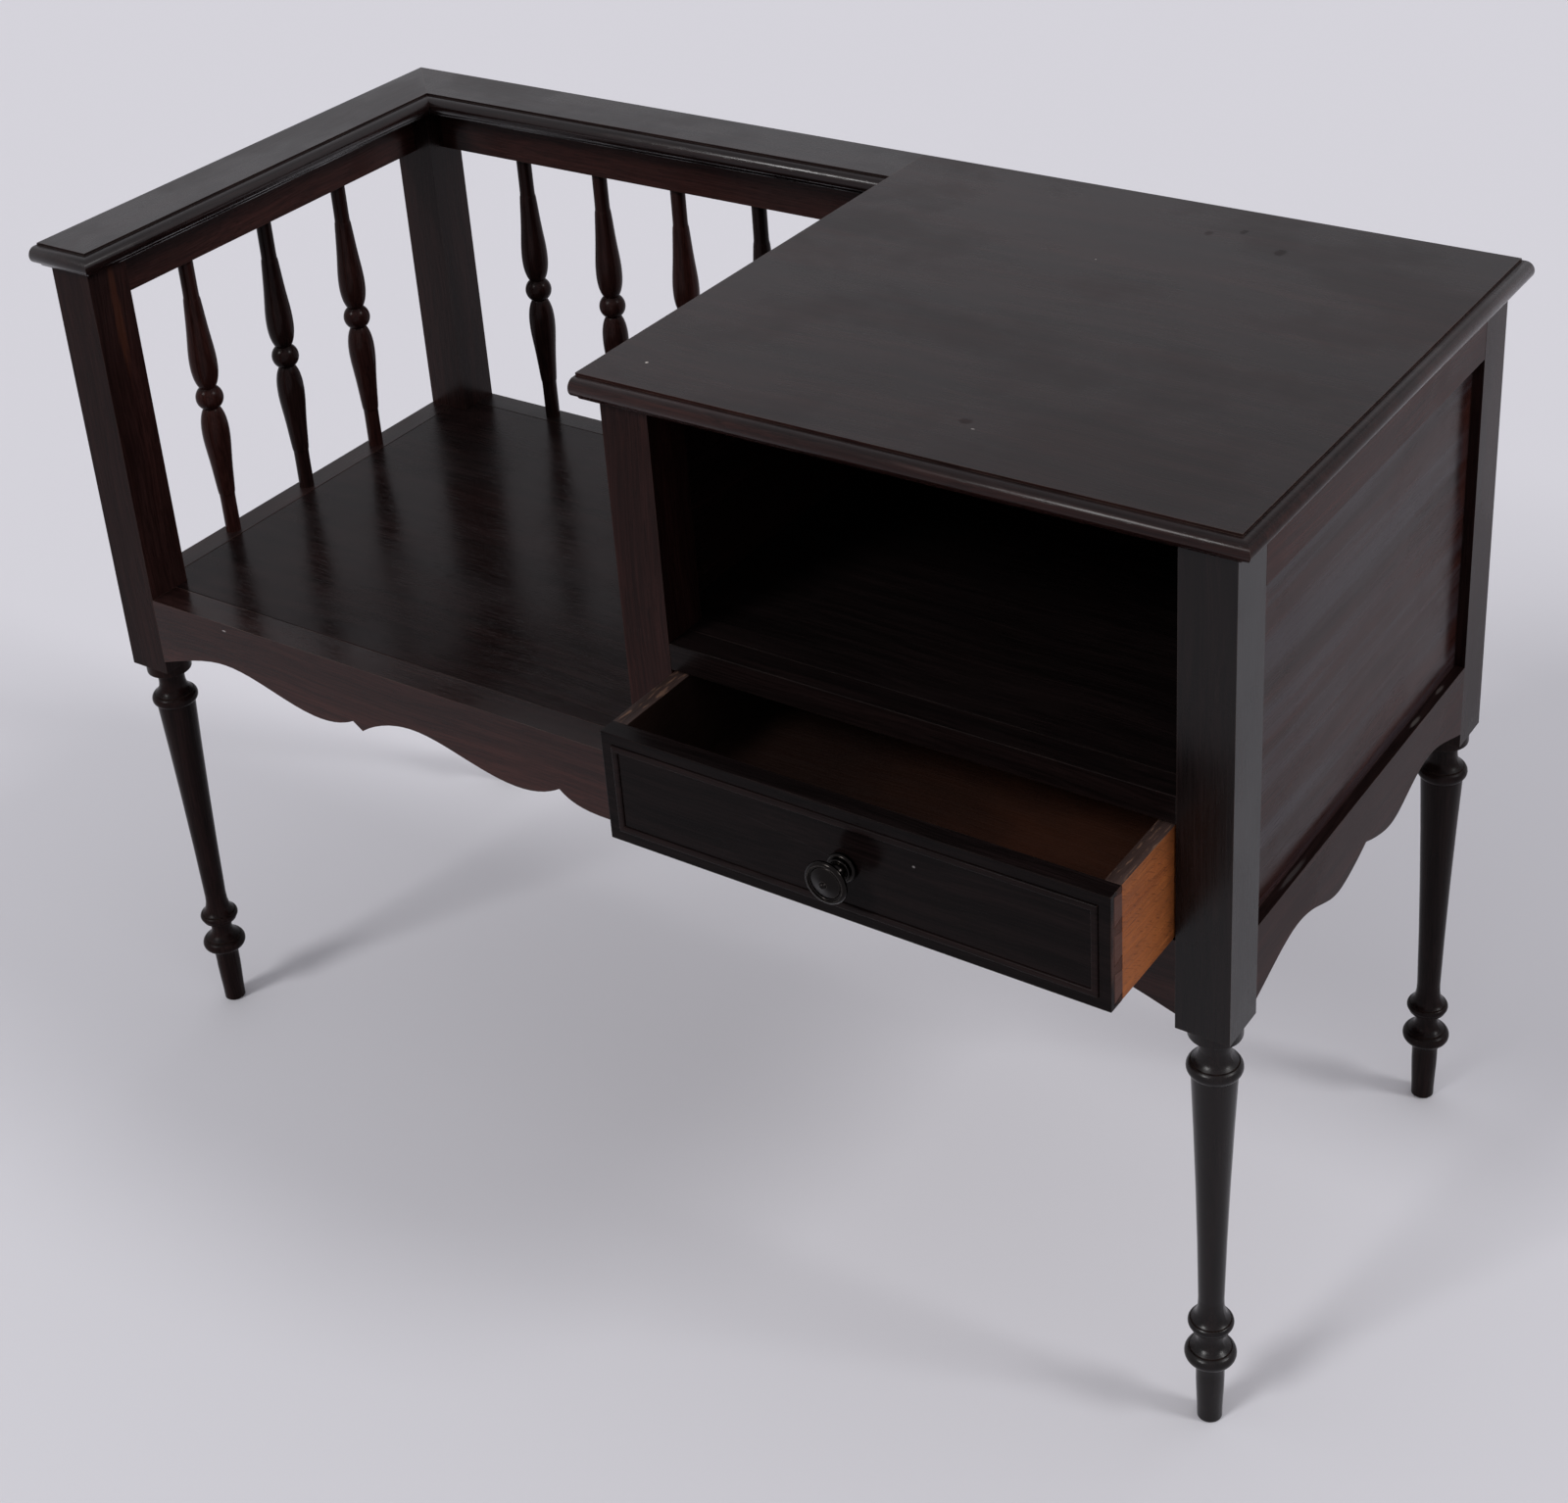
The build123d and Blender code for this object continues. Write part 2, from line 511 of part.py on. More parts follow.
def spindle(x, y):
    """A turned spindle between the seat and a top rail, the same above and below its ball."""
    low, high = SEAT_HEIGHT, TOP_RAIL_Z[0]
    centre = (x, y, (low + high) / 2)
    half = (high - low) / 2
    neck = math.sqrt(SPINDLE_BALL_RADIUS**2 - SPINDLE_NECK_RADIUS**2)
    with BuildSketch(Plane(origin=centre, x_dir=(1, 0, 0), z_dir=(0, -1, 0))) as outline:
        with BuildLine():
            for up in (1, -1):
                Spline(
                    (SPINDLE_NECK_RADIUS, up * neck),
                    (SPINDLE_SWELL_RADIUS - TURNED_STEP, up * (SPINDLE_SWELL_RISE + neck) / 2),
                    (SPINDLE_SWELL_RADIUS, up * SPINDLE_SWELL_RISE),
                    (SPINDLE_TAPER_RADIUS, up * SPINDLE_TAPER_RISE),
                    (SPINDLE_SHANK_RADIUS, up * SPINDLE_SHANK_RISE),
                    (SPINDLE_END_RADIUS, up * half),
                    tangents=((1, up * SPINDLE_NECK_SLOPE), (0, up)),
                )
                Polyline(
                    (SPINDLE_END_RADIUS, up * half),
                    (SPINDLE_DOWEL_RADIUS, up * half),
                    (SPINDLE_DOWEL_RADIUS, up * (half + SPINDLE_DOWEL_LENGTH)),
                    (0, up * (half + SPINDLE_DOWEL_LENGTH)),
                )
            ThreePointArc((SPINDLE_NECK_RADIUS, neck), (SPINDLE_BALL_RADIUS, 0), (SPINDLE_NECK_RADIUS, -neck))
            Line((0, half + SPINDLE_DOWEL_LENGTH), (0, -half - SPINDLE_DOWEL_LENGTH))
        make_face()
    revolve(outline.sketch, axis=Axis(centre, (0, 0, 1)))


def spindle_holes(places, z, up):
    """Blind holes for the spindles' dowels, upwards or downwards from height z."""
    with Locations(*[Plane(origin=(x, y, z), z_dir=(0, 0, -up)) for x, y in places]):
        Hole(SPINDLE_DOWEL_RADIUS + JOINT_FIT, SPINDLE_DOWEL_LENGTH + JOINT_DEPTH_FIT)


def screw_head_height(radius, head_radius):
    return (head_radius - radius) / math.tan(math.radians(SCREW_HEAD_ANGLE / 2))


def screw(places, radius, head_radius, long):
    """Slotted countersunk screws, heads flush with the planes given, pointing into them."""
    head = screw_head_height(radius, head_radius)
    top = (Align.CENTER, Align.CENTER, Align.MAX)
    with Locations(*places):
        Cone(radius, head_radius, head, align=top)
        Cylinder(radius, long - radius * 2, align=top)
        with Locations((0, 0, radius * 2 - long)):
            Cone(radius / 2, radius, radius * 2, align=top)
        with Locations((0, 0, -SCREW_SLOT_DEPTH)):
            Box(
                head_radius * 3,
                SCREW_SLOT_WIDTH,
                SCREW_SLOT_DEPTH * 2,
                align=(Align.CENTER, Align.CENTER, Align.MIN),
                mode=Mode.SUBTRACT,
            )


def screw_holes(places, radius, head_radius, long):
    """Countersunk clearance holes for those screws."""
    with Locations(*places):
        CounterSinkHole(
            radius + JOINT_FIT,
            head_radius + JOINT_FIT,
            depth=long + JOINT_DEPTH_FIT,
            counter_sink_angle=SCREW_HEAD_ANGLE,
        )


def tails(y_root, y_end, z, x):
    """Dovetails in the plane of a drawer side, from their roots to their wider ends."""
    pitch = length(z) / DOVETAILS
    root = pitch * DOVETAIL_SHARE / 2
    with BuildSketch(Plane.YZ.offset(x[0])) as outline:
        for i in range(DOVETAILS):
            centre = z[0] + pitch * (i + 0.5)
            Polygon(
                (y_root, centre - root),
                (y_root, centre + root),
                (y_end, centre + root + DOVETAIL_FLARE),
                (y_end, centre - root - DOVETAIL_FLARE),
                align=None,
            )
    return outline.sketch


# ------------------------------------------------------------------ screw places
def cleat_screw_planes():
    """Planes on the inner faces of the four cleats, each pointing away from its rail."""
    z = middle(CLEAT_Z)
    front_face = FRONT_APRON_Y[1] + CLEAT
    back_face = BACK_RAIL_Y[0] - CLEAT
    left_face = LEFT_RAIL_X[1] + CLEAT
    right_face = RIGHT_RAIL_X[0] - CLEAT
    long_places = spaced(WHOLE_X, LONG_CLEAT_SCREWS, SCREW_INSET)
    short_places = spaced(SIDE_Y, SHORT_CLEAT_SCREWS, SCREW_INSET)
    front = [Plane(origin=(x, front_face, z), z_dir=(0, 1, 0)) for x in long_places]
    back = [Plane(origin=(x, back_face, z), z_dir=(0, -1, 0)) for x in long_places]
    left = [Plane(origin=(left_face, y, z), z_dir=(1, 0, 0)) for y in short_places]
    right = [Plane(origin=(right_face, y, z), z_dir=(-1, 0, 0)) for y in short_places]
    return front, back, left, right


FRONT_SCREWS, BACK_SCREWS, LEFT_SCREWS, RIGHT_SCREWS = cleat_screw_planes()
CLEAT_SCREW = (SCREW_RADIUS, SCREW_HEAD_RADIUS, SCREW_LENGTH)

BOTTOM_SCREWS = [
    Plane(origin=(x, middle(DRAWER_BACK_Y), DRAWER_BOTTOM_Z[0]), z_dir=(0, 0, -1))
    for x in spaced(DRAWER_X, SMALL_SCREWS, SMALL_SCREW_INSET)
]
BOTTOM_SCREW = (SMALL_SCREW_RADIUS, SMALL_SCREW_HEAD_RADIUS, SMALL_SCREW_LENGTH)

ARM_SPINDLE_PLACES = [
    (middle(LEFT_RAIL_X), y - ARM_SPINDLE_SHIFT) for y in spaced(SIDE_Y, ARM_SPINDLES, ARM_SPINDLE_INSET)
]
BACK_SPINDLE_PLACES = [
    (x, middle(BACK_RAIL_Y)) for x in spaced(SEAT_X, BACK_SPINDLES, BACK_SPINDLE_INSET)
]

os.makedirs("parts", exist_ok=True)


# ------------------------------------------------------------------ corner posts
def front_mortises():
    mortises_x(WHOLE_X, FRONT_TENON_Y, SEAT_RAIL_Z)


def back_mortises():
    mortises_x(WHOLE_X, BACK_PANEL_Y, SEAT_RAIL_Z)


def side_panel_groove(x, y_edge, inward, low):
    """Groove in a post for a panel that runs along Y; inward is the way into the post."""
    depth = sorted((y_edge, y_edge + inward * GROOVE_DEPTH))
    block(x, depth, (low, TOP_RAIL_Z[0] + GROOVE_DEPTH), Mode.SUBTRACT)


def back_panel_groove(x_edge, inward, low):
    """Groove in a post for the cabinet's back panel; inward is the way into the post."""
    depth = sorted((x_edge, x_edge + inward * GROOVE_DEPTH))
    block(depth, BACK_PANEL_Y, (low, TOP_RAIL_Z[0] + GROOVE_DEPTH), Mode.SUBTRACT)


PANEL_FOOT = SEAT_HEIGHT - GROOVE_DEPTH  # bottom edge of the right panel and the back panel
LEFT_PANEL_FOOT = CABINET_RAIL_Z[1] - GROOVE_DEPTH

with BuildPart() as front_left_post:
    post_and_leg(LEFT_POST_X, FRONT_POST_Y)
    front_mortises()
    mortises_y(LEFT_TENON_X, SIDE_Y, SEAT_RAIL_Z)
    mortises_y(LEFT_TENON_X, SIDE_Y, TOP_RAIL_Z)
save(front_left_post.part, "front_left_post")

with BuildPart() as back_left_post:
    post_and_leg(LEFT_POST_X, BACK_POST_Y)
    back_mortises()
    mortises_y(LEFT_TENON_X, SIDE_Y, SEAT_RAIL_Z)
    mortises_y(LEFT_TENON_X, SIDE_Y, TOP_RAIL_Z)
    mortises_x(SEAT_X, BACK_PANEL_Y, TOP_RAIL_Z)
save(back_left_post.part, "back_left_post")

with BuildPart() as front_right_post:
    post_and_leg(RIGHT_POST_X, FRONT_POST_Y)
    front_mortises()
    mortises_y(RIGHT_PANEL_X, SIDE_Y, SEAT_RAIL_Z)
    mortises_y(RIGHT_PANEL_X, SIDE_Y, TOP_RAIL_Z)
    mortises_x(CABINET_X, FRONT_TENON_Y, SHELF_RAIL_Z, SHELF_TENON_SHOULDER)
    side_panel_groove(RIGHT_PANEL_X, SIDE_Y[0], -1, PANEL_FOOT)
save(front_right_post.part, "front_right_post")

with BuildPart() as back_right_post:
    post_and_leg(RIGHT_POST_X, BACK_POST_Y)
    back_mortises()
    mortises_y(RIGHT_PANEL_X, SIDE_Y, SEAT_RAIL_Z)
    mortises_y(RIGHT_PANEL_X, SIDE_Y, TOP_RAIL_Z)
    mortises_x(CABINET_X, BACK_PANEL_Y, TOP_RAIL_Z)
    side_panel_groove(RIGHT_PANEL_X, SIDE_Y[1], 1, PANEL_FOOT)
    back_panel_groove(CABINET_X[1], 1, PANEL_FOOT)
save(back_right_post.part, "back_right_post")

# ------------------------------------------------------------------ cabinet posts
with BuildPart() as cabinet_front_post:
    block(CABINET_POST_X, FRONT_POST_Y, (SEAT_HEIGHT, CAP_UNDERSIDE))
    stub(CABINET_POST_X, FRONT_TENON_Y)
    post_dowel(CABINET_POST_X, FRONT_POST_Y)
    mortises_y(CABINET_PANEL_X, SIDE_Y, CABINET_RAIL_Z)
    mortises_y(CABINET_PANEL_X, SIDE_Y, TOP_RAIL_Z)
    mortises_x(CABINET_X, FRONT_TENON_Y, SHELF_RAIL_Z, SHELF_TENON_SHOULDER)
    side_panel_groove(CABINET_PANEL_X, SIDE_Y[0], -1, LEFT_PANEL_FOOT)
save(cabinet_front_post.part, "cabinet_front_post")

with BuildPart() as cabinet_back_post:
    block(CABINET_POST_X, BACK_POST_Y, (SEAT_HEIGHT, CAP_UNDERSIDE))
    stub(CABINET_POST_X, BACK_PANEL_Y)
    post_dowel(CABINET_POST_X, BACK_POST_Y)
    mortises_y(CABINET_PANEL_X, SIDE_Y, CABINET_RAIL_Z)
    mortises_y(CABINET_PANEL_X, SIDE_Y, TOP_RAIL_Z)
    mortises_x(SEAT_X, BACK_PANEL_Y, TOP_RAIL_Z)
    mortises_x(CABINET_X, BACK_PANEL_Y, TOP_RAIL_Z)
    side_panel_groove(CABINET_PANEL_X, SIDE_Y[1], 1, LEFT_PANEL_FOOT)
    back_panel_groove(CABINET_X[0], -1, SEAT_HEIGHT)
save(cabinet_back_post.part, "cabinet_back_post")

# ------------------------------------------------------------------ aprons and the back rail
with BuildPart() as front_apron:
    with BuildSketch(Plane.XZ.offset(-FRONT_APRON_Y[1])):
        with BuildLine():
            scalloped_edge(*WHOLE_X, FRONT_SCALLOPS, SEAT_RAIL_Z[0])
        make_face()
    extrude(amount=APRON_THICKNESS)
    tenons_x(WHOLE_X, FRONT_TENON_Y, SEAT_RAIL_Z)
    stub(CABINET_POST_X, FRONT_TENON_Y, JOINT_FIT, Mode.SUBTRACT)
    screw_holes(FRONT_SCREWS, *CLEAT_SCREW)
save(front_apron.part, "front_apron")

with BuildPart() as left_apron:
    with BuildSketch(Plane.YZ.offset(LEFT_RAIL_X[0])):
        with BuildLine():
            scalloped_edge(*SIDE_Y, SIDE_SCALLOPS, SEAT_RAIL_Z[0])
        make_face()
    extrude(amount=RAIL_THICKNESS)
    tenons_y(LEFT_TENON_X, SIDE_Y, SEAT_RAIL_Z)
    spindle_holes(ARM_SPINDLE_PLACES, SEAT_HEIGHT, -1)
    screw_holes(LEFT_SCREWS, *CLEAT_SCREW)
save(left_apron.part, "left_apron")

with BuildPart() as right_apron:
    with BuildSketch(Plane.YZ.offset(RIGHT_RAIL_X[0])):
        with BuildLine():
            scalloped_edge(*SIDE_Y, SIDE_SCALLOPS, SEAT_RAIL_Z[0])
        make_face()
    extrude(amount=RAIL_THICKNESS)
    tenons_y(RIGHT_PANEL_X, SIDE_Y, SEAT_RAIL_Z)
    block(RIGHT_PANEL_X, SIDE_Y, (PANEL_FOOT, SEAT_HEIGHT), Mode.SUBTRACT)
    screw_holes(RIGHT_SCREWS, *CLEAT_SCREW)
save(right_apron.part, "right_apron")

with BuildPart() as back_seat_rail:
    block(WHOLE_X, BACK_RAIL_Y, SEAT_RAIL_Z)
    tenons_x(WHOLE_X, BACK_PANEL_Y, SEAT_RAIL_Z)
    stub(CABINET_POST_X, BACK_PANEL_Y, JOINT_FIT, Mode.SUBTRACT)
    block((CABINET_X[0] - GROOVE_DEPTH, CABINET_X[1]), BACK_PANEL_Y, (PANEL_FOOT, SEAT_HEIGHT), Mode.SUBTRACT)
    spindle_holes(BACK_SPINDLE_PLACES, SEAT_HEIGHT, -1)
    screw_holes(BACK_SCREWS, *CLEAT_SCREW)
save(back_seat_rail.part, "back_seat_rail")

# ------------------------------------------------------------------ top rails
with BuildPart() as arm_rail:
    block(LEFT_RAIL_X, SIDE_Y, TOP_RAIL_Z)
    tenons_y(LEFT_TENON_X, SIDE_Y, TOP_RAIL_Z)
    spindle_holes(ARM_SPINDLE_PLACES, TOP_RAIL_Z[0], 1)
save(arm_rail.part, "arm_rail")

with BuildPart() as back_top_rail:
    block(SEAT_X, BACK_RAIL_Y, TOP_RAIL_Z)
    tenons_x(SEAT_X, BACK_PANEL_Y, TOP_RAIL_Z)
    spindle_holes(BACK_SPINDLE_PLACES, TOP_RAIL_Z[0], 1)
save(back_top_rail.part, "back_top_rail")

TOP_GROOVE_Z = (TOP_RAIL_Z[0], TOP_RAIL_Z[0] + GROOVE_DEPTH)

with BuildPart() as right_top_rail:
    block(RIGHT_RAIL_X, SIDE_Y, TOP_RAIL_Z)
    tenons_y(RIGHT_PANEL_X, SIDE_Y, TOP_RAIL_Z)
    block(RIGHT_PANEL_X, SIDE_Y, TOP_GROOVE_Z, Mode.SUBTRACT)
save(right_top_rail.part, "right_top_rail")

with BuildPart() as cabinet_left_top_rail:
    block(CABINET_RAIL_X, SIDE_Y, TOP_RAIL_Z)
    tenons_y(CABINET_PANEL_X, SIDE_Y, TOP_RAIL_Z)
    block(CABINET_PANEL_X, SIDE_Y, TOP_GROOVE_Z, Mode.SUBTRACT)
save(cabinet_left_top_rail.part, "cabinet_left_top_rail")

with BuildPart() as cabinet_back_top_rail:
    block(CABINET_X, BACK_RAIL_Y, TOP_RAIL_Z)
    tenons_x(CABINET_X, BACK_PANEL_Y, TOP_RAIL_Z)
    block(CABINET_X, BACK_PANEL_Y, TOP_GROOVE_Z, Mode.SUBTRACT)
save(cabinet_back_top_rail.part, "cabinet_back_top_rail")

with BuildPart() as cabinet_left_bottom_rail:
    block(CABINET_RAIL_X, SIDE_Y, CABINET_RAIL_Z)
    tenons_y(CABINET_PANEL_X, SIDE_Y, CABINET_RAIL_Z)
    block(CABINET_PANEL_X, SIDE_Y, (LEFT_PANEL_FOOT, CABINET_RAIL_Z[1]), Mode.SUBTRACT)
save(cabinet_left_bottom_rail.part, "cabinet_left_bottom_rail")

# ------------------------------------------------------------------ cabinet panels
PANEL_TOP = TOP_GROOVE_Z[1] - PANEL_GAP
PANEL_SPREAD = GROOVE_DEPTH - PANEL_GAP  # how far a panel's edge enters a post's groove

with BuildPart() as right_panel:
    block(RIGHT_PANEL_X, widened(SIDE_Y, PANEL_SPREAD), (PANEL_FOOT, PANEL_TOP))
save(right_panel.part, "right_panel")

with BuildPart() as cabinet_left_panel:
    block(CABINET_PANEL_X, widened(SIDE_Y, PANEL_SPREAD), (LEFT_PANEL_FOOT, PANEL_TOP))
save(cabinet_left_panel.part, "cabinet_left_panel")

with BuildPart() as cabinet_back_panel:
    block(widened(CABINET_X, PANEL_SPREAD), BACK_PANEL_Y, (PANEL_FOOT, PANEL_TOP))
save(cabinet_back_panel.part, "cabinet_back_panel")

# ------------------------------------------------------------------ caps and cabinet top
CAP_FULL_WIDTH = CAP_WIDTH + MOULDING_REACH
MITRE = (CAP_LEFT + CAP_FULL_WIDTH, CAP_BACK - CAP_FULL_WIDTH)  # inner end of the caps' mitre
OUTER_CORNER = (CAP_LEFT, CAP_BACK)

with BuildPart() as arm_cap:
    with BuildSketch(Plane.XY.offset(CAP_UNDERSIDE)):
        Polygon(
            OUTER_CORNER,
            MITRE,
            (MITRE[0], CAP_FRONT - MOULDING_REACH),
            (CAP_LEFT, CAP_FRONT - MOULDING_REACH),
            align=None,
        )
    extrude(amount=CAP_THICKNESS)
    fillet(arm_cap.edges().filter_by(Axis.Y).group_by(Axis.X)[0], CAP_EDGE_RADIUS)
    mould_edge((CAP_LEFT + CAP_WIDTH, CAP_FRONT, TOP_HEIGHT), (1, 0, 0))
    mould_edge((CAP_LEFT + CAP_WIDTH, CAP_FRONT, TOP_HEIGHT), (0, -1, 0))
    post_dowel_hole(LEFT_POST_X, FRONT_POST_Y)
    post_dowel_hole(LEFT_POST_X, BACK_POST_Y)
save(arm_cap.part, "arm_cap")

with BuildPart() as back_cap:
    with BuildSketch(Plane.XY.offset(CAP_UNDERSIDE)):
        Polygon(OUTER_CORNER, (TOP_LEFT, CAP_BACK), (TOP_LEFT, MITRE[1]), MITRE, align=None)
    extrude(amount=CAP_THICKNESS)
    fillet(back_cap.edges().filter_by(Axis.X).group_by(Axis.Y)[-1], CAP_EDGE_RADIUS)
    mould_edge((MITRE[0], CAP_BACK - CAP_WIDTH, TOP_HEIGHT), (0, -1, 0))
    post_dowel_hole(LEFT_POST_X, BACK_POST_Y)
save(back_cap.part, "back_cap")

with BuildPart() as cabinet_top:
    with BuildSketch(Plane.XY.offset(CAP_UNDERSIDE)):
        Polygon(
            (TOP_LEFT, CAP_BACK),
            (TOP_RIGHT + MOULDING_REACH, CAP_BACK),
            (TOP_RIGHT + MOULDING_REACH, CAP_FRONT - MOULDING_REACH),
            (TOP_LEFT, CAP_FRONT - MOULDING_REACH),
            align=None,
        )
    extrude(amount=CAP_THICKNESS)
    fillet(cabinet_top.edges().filter_by(Axis.X).group_by(Axis.Y)[-1], CAP_EDGE_RADIUS)
    mould_edge((TOP_RIGHT, CAP_FRONT, TOP_HEIGHT), (1, 0, 0))
    mould_edge((TOP_RIGHT, CAP_FRONT, TOP_HEIGHT), (0, -1, 0))
    for post_x in (CABINET_POST_X, RIGHT_POST_X):
        post_dowel_hole(post_x, FRONT_POST_Y)
        post_dowel_hole(post_x, BACK_POST_Y)
save(cabinet_top.part, "cabinet_top")

# ------------------------------------------------------------------ spindles
for number, place in enumerate(ARM_SPINDLE_PLACES, 1):
    with BuildPart() as arm_spindle:
        spindle(*place)
    save(arm_spindle.part, f"arm_spindle_{number}")

for number, place in enumerate(BACK_SPINDLE_PLACES, 1):
    with BuildPart() as back_spindle:
        spindle(*place)
    save(back_spindle.part, f"back_spindle_{number}")

# ------------------------------------------------------------------ seat and what carries it
INNER_SEAT_Y = (FRONT_APRON_Y[1], BACK_RAIL_Y[0])

with BuildPart() as seat_board:
    block((LEFT_RAIL_X[1], CABINET_POST_X[0]), INNER_SEAT_Y, SEAT_Z)
    for post_y in (FRONT_POST_Y, BACK_POST_Y):
        block(LEFT_POST_X, post_y, SEAT_Z, Mode.SUBTRACT)
save(seat_board.part, "seat_board")

with BuildPart() as cabinet_floor:
    block((CABINET_POST_X[0], RIGHT_RAIL_X[0]), INNER_SEAT_Y, SEAT_Z)
    for post_y in (FRONT_POST_Y, BACK_POST_Y):
        block(RIGHT_POST_X, post_y, SEAT_Z, Mode.SUBTRACT)
save(cabinet_floor.part, "cabinet_floor")

with BuildPart() as front_seat_cleat:
    block(WHOLE_X, (FRONT_APRON_Y[1], FRONT_APRON_Y[1] + CLEAT), CLEAT_Z)
    screw_holes(FRONT_SCREWS, *CLEAT_SCREW)
save(front_seat_cleat.part, "front_seat_cleat")

with BuildPart() as back_seat_cleat:
    block(WHOLE_X, (BACK_RAIL_Y[0] - CLEAT, BACK_RAIL_Y[0]), CLEAT_Z)
    screw_holes(BACK_SCREWS, *CLEAT_SCREW)
save(back_seat_cleat.part, "back_seat_cleat")

with BuildPart() as left_seat_cleat:
    block((LEFT_RAIL_X[1], LEFT_RAIL_X[1] + CLEAT), SIDE_Y, CLEAT_Z)
    screw_holes(LEFT_SCREWS, *CLEAT_SCREW)
save(left_seat_cleat.part, "left_seat_cleat")

with BuildPart() as right_seat_cleat:
    block((RIGHT_RAIL_X[0] - CLEAT, RIGHT_RAIL_X[0]), SIDE_Y, CLEAT_Z)
    screw_holes(RIGHT_SCREWS, *CLEAT_SCREW)
save(right_seat_cleat.part, "right_seat_cleat")

with BuildPart() as seat_bearer:
    bearer_x = widened((CABINET_POST_X[0], CABINET_POST_X[0]), BEARER_WIDTH / 2)
    block(bearer_x, INNER_SEAT_Y, (SEAT_Z[0] - BEARER_HEIGHT, SEAT_Z[0]))
    block(bearer_x, (INNER_SEAT_Y[0], INNER_SEAT_Y[0] + CLEAT), CLEAT_Z, Mode.SUBTRACT)
    block(bearer_x, (INNER_SEAT_Y[1] - CLEAT, INNER_SEAT_Y[1]), CLEAT_Z, Mode.SUBTRACT)
save(seat_bearer.part, "seat_bearer")

with BuildPart() as cleat_screws:
    screw(FRONT_SCREWS + BACK_SCREWS + LEFT_SCREWS + RIGHT_SCREWS, *CLEAT_SCREW)
save(cleat_screws.part, "cleat_screws")

# ------------------------------------------------------------------ inside the cabinet
with BuildPart() as shelf_rail:
    block(CABINET_X, SHELF_RAIL_Y, SHELF_RAIL_Z)
    tenons_x(CABINET_X, FRONT_TENON_Y, SHELF_RAIL_Z, SHELF_TENON_SHOULDER)
save(shelf_rail.part, "shelf_rail")

INSIDE_X = (CABINET_PANEL_X[1], RIGHT_PANEL_X[0])

with BuildPart() as shelf_board:
    block(INSIDE_X, (SHELF_RAIL_Y[1], BACK_PANEL_Y[0]), SHELF_Z)
    for post_x in (CABINET_POST_X, RIGHT_POST_X):
        for post_y in (FRONT_POST_Y, BACK_POST_Y):
            block(post_x, post_y, SHELF_Z, Mode.SUBTRACT)
save(shelf_board.part, "shelf_board")

KICKER_Z = (SHELF_RAIL_Z[0], SHELF_Z[0])

with BuildPart() as left_kicker:
    block((INSIDE_X[0], CABINET_X[0] + KICKER_REACH), SIDE_Y, KICKER_Z)
save(left_kicker.part, "left_kicker")

with BuildPart() as right_kicker:
    block((CABINET_X[1] - KICKER_REACH, INSIDE_X[1]), SIDE_Y, KICKER_Z)
save(right_kicker.part, "right_kicker")

GUIDE_Z = (SEAT_HEIGHT, SEAT_HEIGHT + GUIDE_HEIGHT)

with BuildPart() as left_drawer_guide:
    block((CABINET_RAIL_X[1], CABINET_X[0]), SIDE_Y, GUIDE_Z)
save(left_drawer_guide.part, "left_drawer_guide")

with BuildPart() as right_drawer_guide:
    block((CABINET_X[1], INSIDE_X[1]), SIDE_Y, GUIDE_Z)
save(right_drawer_guide.part, "right_drawer_guide")

STOP_FRONT = Y_FRONT + DRAWER_FRONT_THICKNESS + STOP_FIT

with BuildPart() as drawer_stops:
    for stop_x in (DRAWER_X[0] + STOP_INSET, DRAWER_X[1] - STOP_INSET):
        block(
            (stop_x - STOP_WIDTH / 2, stop_x + STOP_WIDTH / 2),
            (STOP_FRONT, STOP_FRONT + STOP_DEPTH),
            (SEAT_HEIGHT, SEAT_HEIGHT + STOP_HEIGHT),
        )
save(drawer_stops.part, "drawer_stops")

with BuildPart() as glue_blocks:
    for corner_x, inward in ((CABINET_RAIL_X[1], 1), (RIGHT_RAIL_X[0], -1)):
        for start_y in (SIDE_Y[0] + GLUE_BLOCK_INSET, SIDE_Y[1] - GLUE_BLOCK_INSET - GLUE_BLOCK_LENGTH):
            with BuildSketch(Plane.XZ.offset(-start_y - GLUE_BLOCK_LENGTH)):
                Polygon(
                    (corner_x, CAP_UNDERSIDE),
                    (corner_x + inward * GLUE_BLOCK, CAP_UNDERSIDE),
                    (corner_x, CAP_UNDERSIDE - GLUE_BLOCK),
                    align=None,
                )
            extrude(amount=GLUE_BLOCK_LENGTH)
save(glue_blocks.part, "glue_blocks")

# ------------------------------------------------------------------ drawer
FRONT_TAIL_Y = (DRAWER_FRONT_Y[0] + DOVETAIL_LAP, DRAWER_FRONT_Y[1])


def bottom_groove(mode=Mode.SUBTRACT, gap=0.0):
    """Room for the drawer's bottom, or with a gap the bottom itself."""
    block(
        (LEFT_SIDE_X[1] - DRAWER_GROOVE + gap, RIGHT_SIDE_X[0] + DRAWER_GROOVE - gap),
        (DRAWER_FRONT_Y[1] - DRAWER_GROOVE + gap, DRAWER_REAR),
        DRAWER_BOTTOM_Z,
        mode,
    )


def drawer_side(x):
    """A drawer side with lapped tails at the front and through tails at the back."""
    block(x, (FRONT_TAIL_Y[1], DRAWER_REAR), DRAWER_Z)
    block(x, DRAWER_BACK_Y, DRAWER_BACK_Z, Mode.SUBTRACT)
    extrude(tails(FRONT_TAIL_Y[1], FRONT_TAIL_Y[0], DRAWER_Z, x), amount=DRAWER_SIDE_THICKNESS)
    extrude(tails(DRAWER_BACK_Y[0], DRAWER_BACK_Y[1], DRAWER_BACK_Z, x), amount=DRAWER_SIDE_THICKNESS)
    bottom_groove()


